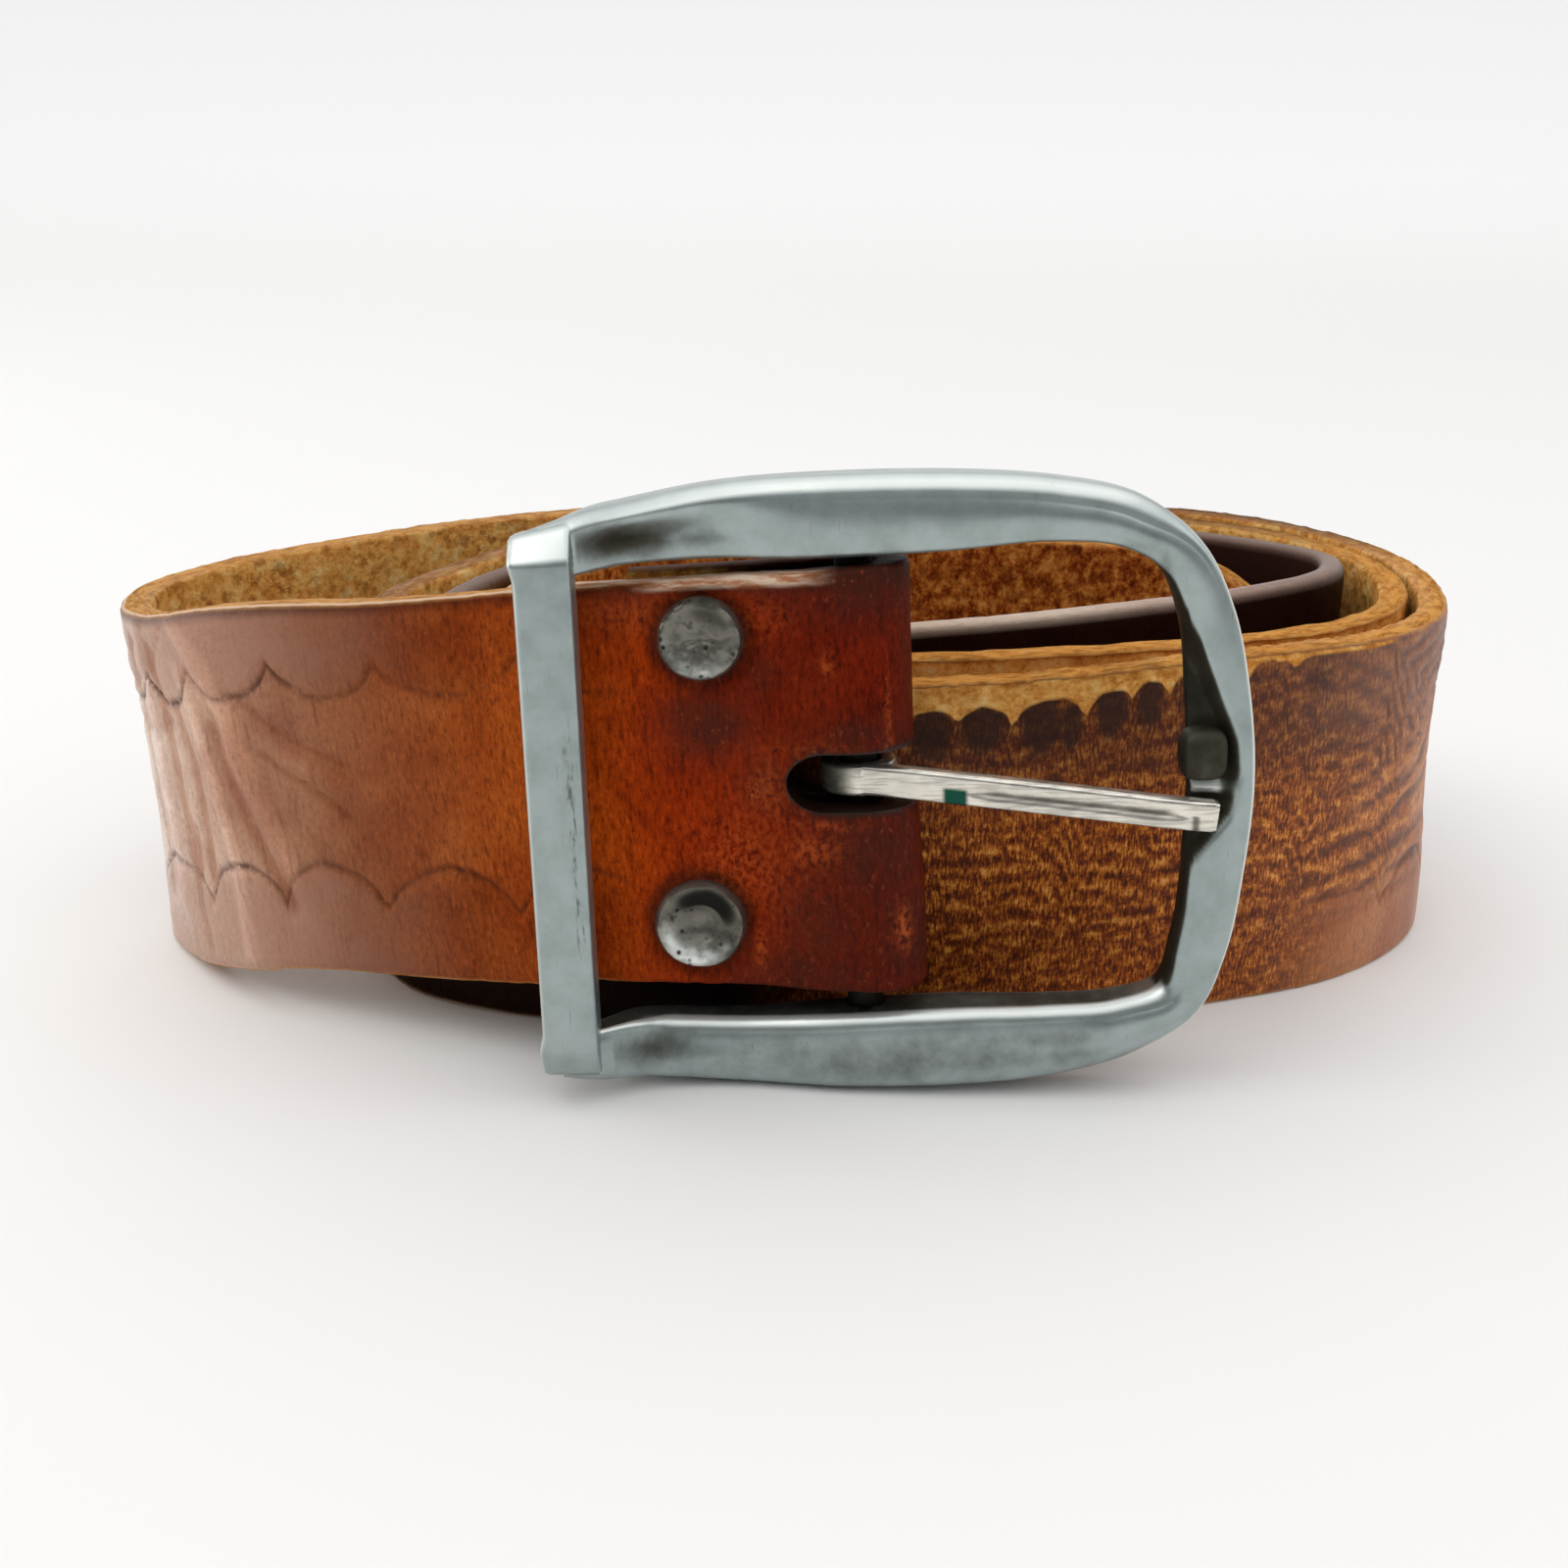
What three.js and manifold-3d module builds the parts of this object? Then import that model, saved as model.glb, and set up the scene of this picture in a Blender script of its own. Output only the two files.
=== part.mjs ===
// Coiled leather belt with a centre bar buckle, standing on the strap's lower edge.
// Millimetres. +X is to the right and +Y to the back, seen from the buckle's side, and +Z is up.
// The buckle has axes of its own: p to the right, d to the back and q up along its centre bar.

import * as THREE from 'three';
import { mergeVertices } from 'three/addons/utils/BufferGeometryUtils.js';
import Module from 'manifold-3d';

const wasm = await Module();
wasm.setup();

// Driving dimensions
const GAP = 0.3;
const STRAP = { width: 38, thick: 3, edgeBevel: 0.6, splayedWidth: 39.2, tipLength: 24 };
const BUCKLE = { x: 4.3, y: -38.2, z: 29.0406, turnDeg: 3, leanDeg: 4, strapRise: 1.4 };
const BAR = { radius: 1.7, length: 46, sides: 16 };
const FOLD = {
  backLayerEnd: -20, flatEnd: -14.6, layersMeet: -9.5, swell: 0.15, swellStart: -4.5, swellDrop: 0.5,
  splayStart: -14.6, splayEnd: -2, sides: 12,
};
const SLOT = { left: -5.8, middle: 1.7, height: 5.4, right: 7, front: -7, back: 5.4, curveSegments: 10 };
const RIVET = {
  capHeight: 1.0, rim: 0.55, rimHeight: 0.3, dishStart: 0.62, dishLip: 0.1, dish: 0.45,
  post: 1.7, seat: 0.4, backFlat: 0.75, backHeight: 0.9, sides: 20,
};
const RIVETS = {
  rivet_upper: { p: -13.6, q: 15.0, capRadius: 3.8 },
  rivet_lower: { p: -15.0, q: -11.5, capRadius: 4.2 },
};
const RIVET_DRILL = { front: -6, back: 4.6 };
const HOLE = { count: 5, spacing: 25, fromTip: 75, radius: 2.2, sides: 16 };
const TONGUE = { width: 2.8, wall: 1.5, loopSides: 24, groove: 0.35 };
const NOTCH = { p: 29.4, d: -6.6, across: 4.4, along: 11 };
const BOSS = { p: 30.6, q: 3.1, d: -3.2, radius: 2.1 };
const TIP = { endShare: 0.28 };
const TONGUE_SHARES = { edge: 0.5, shoulder: 0.4, flat: 0.7, grooveSide: 0.35 };
const COIL_STEPS_PER_ROW = 4;
const FOLD_STEPS_PER_ROW = 2;
const FRAME_STEPS_PER_ROW = 3;
const FRAME_SECTION = { points: 12, squareness: 0.62 };

const COLOURS = {
  leather: { color: 0x8a3a17, roughness: 0.55, metalness: 0 },
  frame: { color: 0x8b9698, roughness: 0.38, metalness: 1 },
  tongue: { color: 0xc2c3bd, roughness: 0.28, metalness: 1 },
  rivet: { color: 0x66635e, roughness: 0.5, metalness: 1 },
};

// The grain face of the strap in plan, clockwise from the buckle. Rows hold x and y, and where the
// strap climbs from the floor to the buckle also the height of its middle and its lean in degrees.
const FIRST_TURN = [
  [-22.6, -40.2, 29.0, 4], [-31.1, -37.4, 27.7, 3.4], [-39.6, -34.2, 26.4, 2.6], [-48.6, -31, 25.3, 1.6],
  [-55.6, -27.6, 23.9, 0.8], [-61.6, -22.8, 21.7, 0.2], [-66.8, -17, 19.8], [-70.6, -10.6], [-71.4, -3.4],
  [-68.6, 4.6], [-61.6, 15], [-50, 27.4], [-33, 38.6], [-12, 45.2], [12, 48], [36, 47.4], [54, 42.8],
  [65.6, 32], [71, 18], [70.8, 4.6], [66.6, -8.6], [57.4, -18.2], [42.4, -24.6], [24.4, -29.4], [4.4, -32],
];
const SECOND_TURN = [
  [-14.6, -31.6], [-30.4, -28.8], [-41.4, -23.6], [-46.4, -15.6], [-46.4, -5.4], [-42, 7], [-33.6, 21],
  [-18.6, 33.4], [3.4, 41], [26, 43.2], [46, 39.8], [60.2, 30.4], [67, 17], [67.1, 5], [62.8, -6.4],
  [54, -14.8], [40, -20.8], [22.6, -25.7], [4.4, -28.3],
];
const THIRD_TURN = [
  [-13.6, -27.8], [-27.6, -24.2], [-36.8, -17.6], [-40.2, -8.4], [-37.6, 3.4], [-29, 17], [-13.6, 28.2],
  [6.4, 34.8], [26.4, 36.6], [44.4, 33.8], [56.4, 25.8], [62, 15], [59.4, 4.8], [49.4, -3.8], [32.4, -12.4],
  [14.4, -19.8], [-1.6, -23.8],
];
const LAST_TURN = [
  [-14.6, -23.3], [-26.6, -18.4], [-33.4, -9.4], [-32.4, 3.4], [-22.6, 14.8], [-5.6, 22.6], [16.4, 26],
  [35.4, 24.8], [48.4, 19.6], [54.8, 12.4], [56.4, 7.4],
];

// The buckle frame's bar, from the middle of the keeper bar over the top to the middle of the right
// bar, and mirrored below. Columns: p, q, width across the bar, and the depths of its front and back.
const FRAME_ROWS = [
  [-26.4, 0, 5.0, -8.4, -4.5], [-26.4, 12, 5.0, -8.4, -4.5], [-26.6, 20.6, 5.2, -8.4, -4.2],
  [-26.8, 23.3, 7.0, -8.2, -2.6], [-23.4, 23.9, 5.2, -6.4, -0.6], [-20.0, 24.4, 5.6, -3.0, 1.4],
  [-12.0, 25.1, 6.7, -2.7, 1.9], [-3.0, 25.3, 7.4, -4.0, 1.9],
  [8.0, 25.3, 7.5, -4.4, 1.6], [17.0, 24.8, 6.4, -4.4, 1.0], [23.6, 23.4, 5.2, -4.3, 0.8],
  [28.0, 20.2, 4.5, -4.2, 0.7], [30.6, 15.0, 4.8, -4.1, 0.6], [31.8, 8.0, 5.4, -4.0, 0.6],
  [32.3, 0, 5.7, -4.0, 0.6],
];

// The tongue's shank. Columns: p, q, depth of its middle, thickness.
const TONGUE_ROWS = [
  [0.0, 1.5, -2.75, 1.5], [4.0, 1.05, -2.9, 1.8], [16.0, -0.6, -3.6, 1.8], [27.0, -2.15, -4.3, 1.8],
  [30.0, -2.55, -4.4, 1.8], [31.6, -2.75, -4.35, 1.7],
];

const rad = THREE.MathUtils.degToRad;
const UP = new THREE.Vector3(0, 0, 1);

// The buckle's place: turned in its own plane, then leant back.
const buckleMatrix = new THREE.Matrix4()
  .makeRotationFromEuler(new THREE.Euler(-rad(BUCKLE.leanDeg), -rad(BUCKLE.turnDeg), 0, 'XYZ'))
  .setPosition(BUCKLE.x, BUCKLE.y, BUCKLE.z);

const fromBuckle = (p, d, q) => new THREE.Vector3(p, d, q).applyMatrix4(buckleMatrix);

// Solids

function toManifold(geometry) {
  const bare = geometry.clone();
  bare.deleteAttribute('normal');
  bare.deleteAttribute('uv');
  const merged = mergeVertices(bare, 1e-5);
  return new wasm.Manifold(new wasm.Mesh({
    numProp: 3,
    vertProperties: new Float32Array(merged.attributes.position.array),
    triVerts: new Uint32Array(merged.index.array),
  }));
}

function toGeometry(solid) {
  const mesh = solid.getMesh();
  const geometry = new THREE.BufferGeometry();
  geometry.setAttribute('position', new THREE.BufferAttribute(mesh.vertProperties, 3));
  geometry.setIndex(new THREE.BufferAttribute(mesh.triVerts, 1));
  geometry.computeVertexNormals();
  return geometry;
}

// Skin over a row of rings with the same number of points, closed into a loop or capped at its ends.
function loft(rings, closed) {
  const size = rings[0].length;
  const positions = rings.flat().flatMap((point) => point.toArray());
  const index = [];
  const last = closed ? rings.length : rings.length - 1;
  for (let i = 0; i < last; i += 1) {
    const here = i * size;
    const next = ((i + 1) % rings.length) * size;
    for (let k = 0; k < size; k += 1) {
      const after = (k + 1) % size;
      index.push(here + k, next + k, next + after, here + k, next + after, here + after);
    }
  }
  if (!closed) {
    const end = (rings.length - 1) * size;
    for (let k = 1; k < size - 1; k += 1) {
      index.push(0, k, k + 1, end, end + k + 1, end + k);
    }
  }
  const geometry = new THREE.BufferGeometry();
  geometry.setAttribute('position', new THREE.Float32BufferAttribute(positions, 3));
  geometry.setIndex(index);
  return geometry;
}

// A round rod along q, through p and d of the buckle's own axes.
function rodAlongQ(radius, length, sides) {
  return new THREE.CylinderGeometry(radius, radius, length, sides).rotateX(Math.PI / 2);
}

// Strap

function foldRows() {
  const outer = BAR.radius + GAP + STRAP.thick;
  const flat = STRAP.thick + GAP / 2;
  const layer = [
    [FOLD.backLayerEnd, flat], [FOLD.flatEnd, flat], [FOLD.layersMeet, flat + FOLD.swell],
    [FOLD.swellStart, outer - FOLD.swellDrop],
  ];
  const back = layer.map(([p, d]) => ({ p, d }));
  const bend = [];
  for (let i = 0; i <= FOLD.sides; i += 1) {
    const angle = Math.PI / 2 - (Math.PI * i) / FOLD.sides;
    bend.push({ p: outer * Math.cos(angle), d: outer * Math.sin(angle) });
  }
  const front = back.slice(1).reverse().map(({ p, d }) => ({ p, d: -d }));
  return [...back, ...bend, ...front].map(({ p, d }) => {
    const place = fromBuckle(p, d, BUCKLE.strapRise);
    return { x: place.x, y: place.y, z: place.z, lean: BUCKLE.leanDeg, p };
  });
}

function strapRows() {
  const coil = [...FIRST_TURN, ...SECOND_TURN, ...THIRD_TURN, ...LAST_TURN];
  const rows = coil.map(([x, y, z = STRAP.width / 2, lean = 0]) => ({ x, y, z, lean, p: -Infinity }));
  return [...foldRows(), ...rows];
}

// Stations along the grain face, each with its place, its direction and the strap's own axes.
function strapStations() {
  const rows = strapRows();
  const curve = new THREE.CatmullRomCurve3(rows.map(({ x, y, z }) => new THREE.Vector3(x, y, z)));
  const stations = [];
  let length = 0;
  for (let i = 0; i < rows.length - 1; i += 1) {
    const steps = Number.isFinite(rows[i].p) ? FOLD_STEPS_PER_ROW : COIL_STEPS_PER_ROW;
    for (let k = 0; k < steps || (i === rows.length - 2 && k === steps); k += 1) {
      const along = k / steps;
      const t = Math.min((i + along) / (rows.length - 1), 1);
      const place = curve.getPoint(t);
      place.z = Math.max(place.z, STRAP.width / 2);
      const tangent = curve.getTangent(t);
      const lean = rad(THREE.MathUtils.lerp(rows[i].lean, rows[i + 1].lean, along));
      length += stations.length ? place.distanceTo(stations.at(-1).place) : 0;
      stations.push({ place, tangent, lean, p: rows[i].p, length });
    }
  }
  return stations.map((station) => ({ ...station, ...strapAxes(station) }));
}

function strapAxes({ tangent, lean, p }) {
  const inward = new THREE.Vector3().crossVectors(tangent, UP).normalize();
  const folded = Number.isFinite(p);
  const wide = folded
    ? new THREE.Vector3(0, 0, 1).transformDirection(buckleMatrix)
    : UP.clone().multiplyScalar(Math.cos(lean)).addScaledVector(inward, Math.sin(lean));
  wide.addScaledVector(tangent, -wide.dot(tangent)).normalize();
  return { wide, inward: new THREE.Vector3().crossVectors(tangent, wide).normalize() };
}

function halfWidthAt(station, total) {
  const toTip = total - station.length;
  const half = STRAP.width / 2;
  if (toTip < STRAP.tipLength) {
    const round = Math.sqrt(1 - (1 - toTip / STRAP.tipLength) ** 2);
    return THREE.MathUtils.lerp(TIP.endShare * half, half, round);
  }
  if (!Number.isFinite(station.p)) return half;
  const splay = THREE.MathUtils.smoothstep(station.p, FOLD.splayStart, FOLD.splayEnd);
  return THREE.MathUtils.lerp(half, STRAP.splayedWidth / 2, splay);
}

function strapRing(station, total) {
  const half = halfWidthAt(station, total);
  const bevel = STRAP.edgeBevel;
  const thick = STRAP.thick;
  const section = [
    [0, bevel - half], [bevel, -half], [thick - bevel, -half], [thick, bevel - half],
    [thick, half - bevel], [thick - bevel, half], [bevel, half], [0, half - bevel],
  ];
  return section.map(([deep, wide]) => station.place.clone()
    .addScaledVector(station.inward, deep)
    .addScaledVector(station.wide, wide));
}

function slotTool() {
  const radius = SLOT.height / 2;
  const shape = new THREE.Shape();
  shape.moveTo(SLOT.right, -radius);
  shape.lineTo(SLOT.right, radius);
  shape.absarc(SLOT.left + radius, 0, radius, Math.PI / 2, 1.5 * Math.PI, false);
  const depth = SLOT.back - SLOT.front;
  return new THREE.ExtrudeGeometry(shape, { depth, bevelEnabled: false, curveSegments: SLOT.curveSegments })
    .translate(0, SLOT.middle, -SLOT.back)
    .rotateX(Math.PI / 2)
    .applyMatrix4(buckleMatrix);
}

function rivetHoleTool({ p, q }) {
  const { front, back } = RIVET_DRILL;
  return new THREE.CylinderGeometry(RIVET.post + GAP, RIVET.post + GAP, back - front, RIVET.sides)
    .translate(p, (front + back) / 2, q)
    .applyMatrix4(buckleMatrix);
}

// A punch square to the strap at a distance from the tip, on the strap's middle line.
function punch(stations, fromTip) {
  const total = stations.at(-1).length;
  const station = stations.find(({ length }) => length >= total - fromTip);
  const middle = station.place.clone().addScaledVector(station.inward, STRAP.thick / 2);
  const turn = new THREE.Quaternion().setFromUnitVectors(new THREE.Vector3(0, 1, 0), station.inward);
  return new THREE.CylinderGeometry(HOLE.radius, HOLE.radius, STRAP.thick + 1, HOLE.sides)
    .applyQuaternion(turn)
    .translate(middle.x, middle.y, middle.z);
}

function strapGeometry() {
  const stations = strapStations();
  const total = stations.at(-1).length;
  let strap = toManifold(loft(stations.map((station) => strapRing(station, total)), false));
  const tools = [slotTool(), ...Object.values(RIVETS).map(rivetHoleTool)];
  for (let i = 0; i < HOLE.count; i += 1) {
    tools.push(punch(stations, HOLE.fromTip + i * HOLE.spacing));
  }
  for (const tool of tools) strap = strap.subtract(toManifold(tool));
  return toGeometry(strap);
}

// Buckle

// A flattened round of a bar: across runs over its width, the depth from its front to its back.
function barSection(width, front, back) {
  const { points, squareness } = FRAME_SECTION;
  const swell = (value) => Math.sign(value) * Math.abs(value) ** squareness;
  const ring = [];
  for (let k = 0; k < points; k += 1) {
    const angle = (2 * Math.PI * (k + 0.5)) / points;
    ring.push({
      across: (width / 2) * swell(Math.cos(angle)),
      depth: (front + back) / 2 + ((back - front) / 2) * swell(Math.sin(angle)),
    });
  }
  return ring;
}

function frameLoop() {
  const lower = FRAME_ROWS.slice(1, -1).reverse().map(([p, q, ...rest]) => [p, -q, ...rest]);
  const rows = [...FRAME_ROWS, ...lower];
  const path = new THREE.CatmullRomCurve3(rows.map(([p, q]) => new THREE.Vector3(p, 0, q)), true);
  const sizes = new THREE.CatmullRomCurve3(
    rows.map(([, , width, front, back]) => new THREE.Vector3(width, front, back)), true, 'catmullrom', 0.5);
  const count = rows.length * FRAME_STEPS_PER_ROW;
  const rings = [];
  for (let i = 0; i < count; i += 1) {
    const t = i / count;
    const place = path.getPoint(t);
    const tangent = path.getTangent(t);
    const size = sizes.getPoint(t);
    const out = new THREE.Vector3(-tangent.z, 0, tangent.x);
    rings.push(barSection(size.x, size.y, size.z).map(({ across, depth }) => place.clone()
      .addScaledVector(out, across)
      .add(new THREE.Vector3(0, depth, 0))));
  }
  return loft(rings, true);
}

function frameGeometry() {
  const notch = new THREE.SphereGeometry(1, 20, 14)
    .scale(NOTCH.across, NOTCH.across, NOTCH.along)
    .translate(NOTCH.p, NOTCH.d, 0);
  const boss = new THREE.SphereGeometry(BOSS.radius, 16, 12).translate(BOSS.p, BOSS.d, BOSS.q);
  const bar = rodAlongQ(BAR.radius, BAR.length, BAR.sides);
  return toGeometry(toManifold(frameLoop())
    .subtract(toManifold(notch))
    .add(toManifold(boss))
    .add(toManifold(bar)));
}

// Tongue

function tongueRing([p, q, middle, thick], slope) {
  const half = TONGUE.width / 2;
  const deep = thick / 2;
  const edge = TONGUE_SHARES.edge * deep;
  const shoulder = -TONGUE_SHARES.shoulder * deep;
  const flat = TONGUE_SHARES.flat * half;
  const side = TONGUE_SHARES.grooveSide * half;
  const section = [
    [-half, edge], [-half, shoulder], [-flat, -deep], [-side, -deep], [0, TONGUE.groove - deep],
    [side, -deep], [flat, -deep], [half, shoulder], [half, edge], [flat, deep], [-flat, deep],
  ];
  return section.map(([across, depth]) => new THREE.Vector3(
    p - across * Math.sin(slope), middle + depth, q + across * Math.cos(slope)));
}

function tongueGeometry() {
  const [start, end] = [TONGUE_ROWS[0], TONGUE_ROWS.at(-1)];
  const slope = Math.atan2(end[1] - start[1], end[0] - start[0]);
  const shank = loft(TONGUE_ROWS.map((row) => tongueRing(row, slope)), false);
  const inner = BAR.radius + GAP;
  const half = TONGUE.width / 2;
  const profile = [
    [inner, -half], [inner + TONGUE.wall, -half], [inner + TONGUE.wall, half], [inner, half], [inner, -half],
  ].map(([x, y]) => new THREE.Vector2(x, y));
  const loop = new THREE.LatheGeometry(profile, TONGUE.loopSides)
    .rotateX(Math.PI / 2)
    .translate(0, 0, BUCKLE.strapRise);
  const clearBar = rodAlongQ(inner, 3 * TONGUE.width, TONGUE.loopSides);
  return toGeometry(toManifold(loop).add(toManifold(shank)).subtract(toManifold(clearBar)));
}

// Rivet: a dished cap on the grain, a plain post through both layers and a plain cap behind.

function rivetGeometry({ p, q, capRadius }) {
  const face = STRAP.thick + GAP / 2 + RIVET.seat;
  const top = face + RIVET.capHeight;
  const back = face + RIVET.backHeight;
  const profile = [
    [0, -back], [RIVET.backFlat * capRadius, -back], [capRadius, -face - RIVET.rimHeight],
    [capRadius, -face], [RIVET.post, -face], [RIVET.post, face], [capRadius, face],
    [capRadius, face + RIVET.rimHeight], [capRadius - RIVET.rim, top],
    [RIVET.dishStart * capRadius, top - RIVET.dishLip], [0, top - RIVET.dish],
  ];
  const points = profile.map(([radius, along]) => new THREE.Vector2(radius, along));
  return new THREE.LatheGeometry(points, RIVET.sides)
    .rotateX(Math.PI)
    .translate(p, 0, q);
}

// Assembly

function named(name, geometry, look) {
  const mesh = new THREE.Mesh(geometry, new THREE.MeshStandardMaterial(look));
  mesh.name = name;
  return mesh;
}

function buildBelt() {
  const belt = new THREE.Group();
  const buckle = new THREE.Group();
  buckleMatrix.decompose(buckle.position, buckle.quaternion, buckle.scale);
  buckle.add(
    named('buckle_frame', frameGeometry(), COLOURS.frame),
    named('tongue', tongueGeometry(), COLOURS.tongue),
    ...Object.entries(RIVETS).map(([name, place]) => named(name, rivetGeometry(place), COLOURS.rivet)),
  );
  belt.add(named('strap', strapGeometry(), COLOURS.leather), buckle);
  return standOnOrigin(belt);
}

// The origin is the middle of the whole belt's outline, on the surface it stands on.
function standOnOrigin(belt) {
  const box = new THREE.Box3().setFromObject(belt, true);
  const middle = box.getCenter(new THREE.Vector3());
  belt.position.set(-middle.x, -middle.y, -box.min.z);
  return belt;
}

export default buildBelt();
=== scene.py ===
"""A coiled, tooled leather belt with a centre bar buckle, in metres, with +Z up."""

import logging
import math
from dataclasses import dataclass
from enum import Enum

import bmesh
import bpy
import numpy as np
from mathutils import Matrix, Vector
from mathutils.kdtree import KDTree


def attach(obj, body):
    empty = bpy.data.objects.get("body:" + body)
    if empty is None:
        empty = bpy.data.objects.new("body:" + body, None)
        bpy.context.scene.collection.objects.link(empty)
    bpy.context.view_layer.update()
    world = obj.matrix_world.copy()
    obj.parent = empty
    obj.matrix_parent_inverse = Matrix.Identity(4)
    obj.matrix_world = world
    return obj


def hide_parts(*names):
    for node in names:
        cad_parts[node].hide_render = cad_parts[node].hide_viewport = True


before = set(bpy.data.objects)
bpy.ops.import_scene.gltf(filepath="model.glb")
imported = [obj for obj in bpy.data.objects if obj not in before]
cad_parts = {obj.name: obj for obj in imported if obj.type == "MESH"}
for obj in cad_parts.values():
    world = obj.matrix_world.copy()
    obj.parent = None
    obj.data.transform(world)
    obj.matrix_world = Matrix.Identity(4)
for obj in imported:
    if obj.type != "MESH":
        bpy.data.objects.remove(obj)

LOG = logging.getLogger("belt")
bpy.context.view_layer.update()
MM = 0.001
SHIFT = np.array([0.01655, -0.01282, 0.0])

Array = np.ndarray
Colour = tuple[float, float, float]
Rows = tuple[tuple[float, ...], ...]


class Body(Enum):
    """Names of the bodies that pieces move with."""

    STRAP = "strap"
    FRAME = "frame"
    TONGUE = "tongue"


class Slot(Enum):
    """Names of the material slots."""

    LEATHER = "leather"
    FRAME = "frame_metal"
    TONGUE = "tongue_metal"
    RIVET = "rivet_metal"


# Plan of the grain face, in mm, clockwise from the buckle: x, y, height of the middle, lean in degrees
FIRST_TURN = [
    (-22.6, -40.2, 29.0, 4), (-31.1, -37.4, 27.7, 3.4), (-39.6, -34.2, 26.4, 2.6), (-48.6, -31, 25.3, 1.6),
    (-55.6, -27.6, 23.9, 0.8), (-61.6, -22.8, 21.7, 0.2), (-66.8, -17, 19.8), (-70.6, -10.6), (-71.4, -3.4),
    (-68.6, 4.6), (-61.6, 15), (-50, 27.4), (-33, 38.6), (-12, 45.2), (12, 48), (36, 47.4), (54, 42.8),
    (65.6, 32), (71, 18), (70.8, 4.6), (66.6, -8.6), (57.4, -18.2), (42.4, -24.6), (24.4, -29.4), (4.4, -32),
]
SECOND_TURN = [
    (-14.6, -31.6), (-30.4, -28.8), (-41.4, -23.6), (-46.4, -15.6), (-46.4, -5.4), (-42, 7), (-33.6, 21),
    (-18.6, 33.4), (3.4, 41), (26, 43.2), (46, 39.8), (60.2, 30.4), (67, 17), (67.1, 5), (62.8, -6.4),
    (54, -14.8), (40, -20.8), (22.6, -25.7), (4.4, -28.3),
]
THIRD_TURN = [
    (-13.6, -27.8), (-27.6, -24.2), (-36.8, -17.6), (-40.2, -8.4), (-37.6, 3.4), (-29, 17), (-13.6, 28.2),
    (6.4, 34.8), (26.4, 36.6), (44.4, 33.8), (56.4, 25.8), (62, 15), (59.4, 4.8), (49.4, -3.8), (32.4, -12.4),
    (14.4, -19.8), (-1.6, -23.8),
]
LAST_TURN = [
    (-14.6, -23.3), (-26.6, -18.4), (-33.4, -9.4), (-32.4, 3.4), (-22.6, 14.8), (-5.6, 22.6), (16.4, 26),
    (35.4, 24.8), (48.4, 19.6), (54.8, 12.4), (56.4, 7.4),
]

# Buckle frame's arms from the top of the keeper bar round the right to its foot, in mm: p, q, width, depth of
# the front, depth of the back
ARM_ROWS = [
    (-27.6, 23.1, 4.2, -6.2, -4.7), (-24.8, 23.6, 4.8, -6.3, -2.6), (-22.2, 24.1, 5.3, -4.6, 0.2),
    (-19.4, 24.4, 5.6, -3.0, 1.4), (-12.0, 25.0, 6.5, -2.7, 1.9), (-3.0, 25.1, 7.0, -4.0, 1.9),
    (8.0, 25.15, 6.6, -4.4, 1.6), (17.0, 25.0, 5.4, -4.4, 1.0), (23.9, 23.7, 4.6, -4.3, 0.8),
    (28.3, 20.5, 4.1, -4.2, 0.0), (30.7, 15.0, 4.6, -4.1, -0.6), (31.8, 8.0, 5.4, -4.0, -0.8),
    (32.3, 0, 5.7, -4.0, -0.8),
    (31.8, -8.0, 5.4, -4.0, -0.8), (30.8, -15.0, 5.0, -4.1, -0.6), (28.7, -20.8, 4.5, -4.2, 0.0),
    (23.8, -23.5, 5.9, -4.3, 0.8), (17.0, -24.6, 7.3, -4.4, 1.0), (8.0, -24.9, 8.0, -4.4, 1.6),
    (-3.0, -25.05, 7.6, -4.0, 1.9), (-12.0, -25.0, 6.7, -2.7, 1.9), (-19.4, -24.2, 6.2, -3.0, 1.4),
    (-22.2, -23.7, 6.0, -4.6, 0.2), (-25.2, -23.4, 5.4, -6.3, -2.6), (-28.2, -23.3, 4.3, -6.2, -4.7),
]

# Tongue's shank, in mm: p, q, depth of the middle, thickness
TONGUE_ROWS = [
    (0.0, 1.5, -2.75, 1.5), (4.0, 1.05, -2.9, 1.8), (16.0, -0.6, -3.6, 1.8), (27.0, -2.15, -4.3, 1.8),
    (30.0, -2.55, -4.4, 1.8), (31.6, -2.75, -4.35, 1.7),
]

# Tooled scallops, in mm along the strap from the fold: where their points are
UPPER_CUSPS = [24.5, 37.8, 53.0, 64.6, 75.0, 86.5, 98.5]
LOWER_CUSPS = [27.0, 41.0, 55.3, 68.6, 81.4, 94.0]
CUSP_SPACING = 13.0


def linear(red: float, green: float, blue: float) -> Colour:
    """A colour given in 0 to 255 as it looks on a screen, in linear light."""
    parts = (red, green, blue)
    return tuple((c / 255 / 12.92) if c < 10 else ((c / 255 + 0.055) / 1.055) ** 2.4 for c in parts)


def smooth_step(value: Array, low: float, high: float) -> Array:
    """A soft ramp from 0 at low to 1 at high."""
    t = np.clip((value - low) / (high - low), 0, 1)
    return t * t * (3 - 2 * t)


def bell(away: Array, width: float) -> Array:
    """A soft bump, which is 1 where away is 0 and fades over the width."""
    return np.exp(-((away / width) ** 2))


def read_table(x: Array, rows: Rows) -> Array:
    """Values between the rows of a table with two columns, x and the value."""
    return np.interp(x, *np.transpose(rows))


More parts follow.
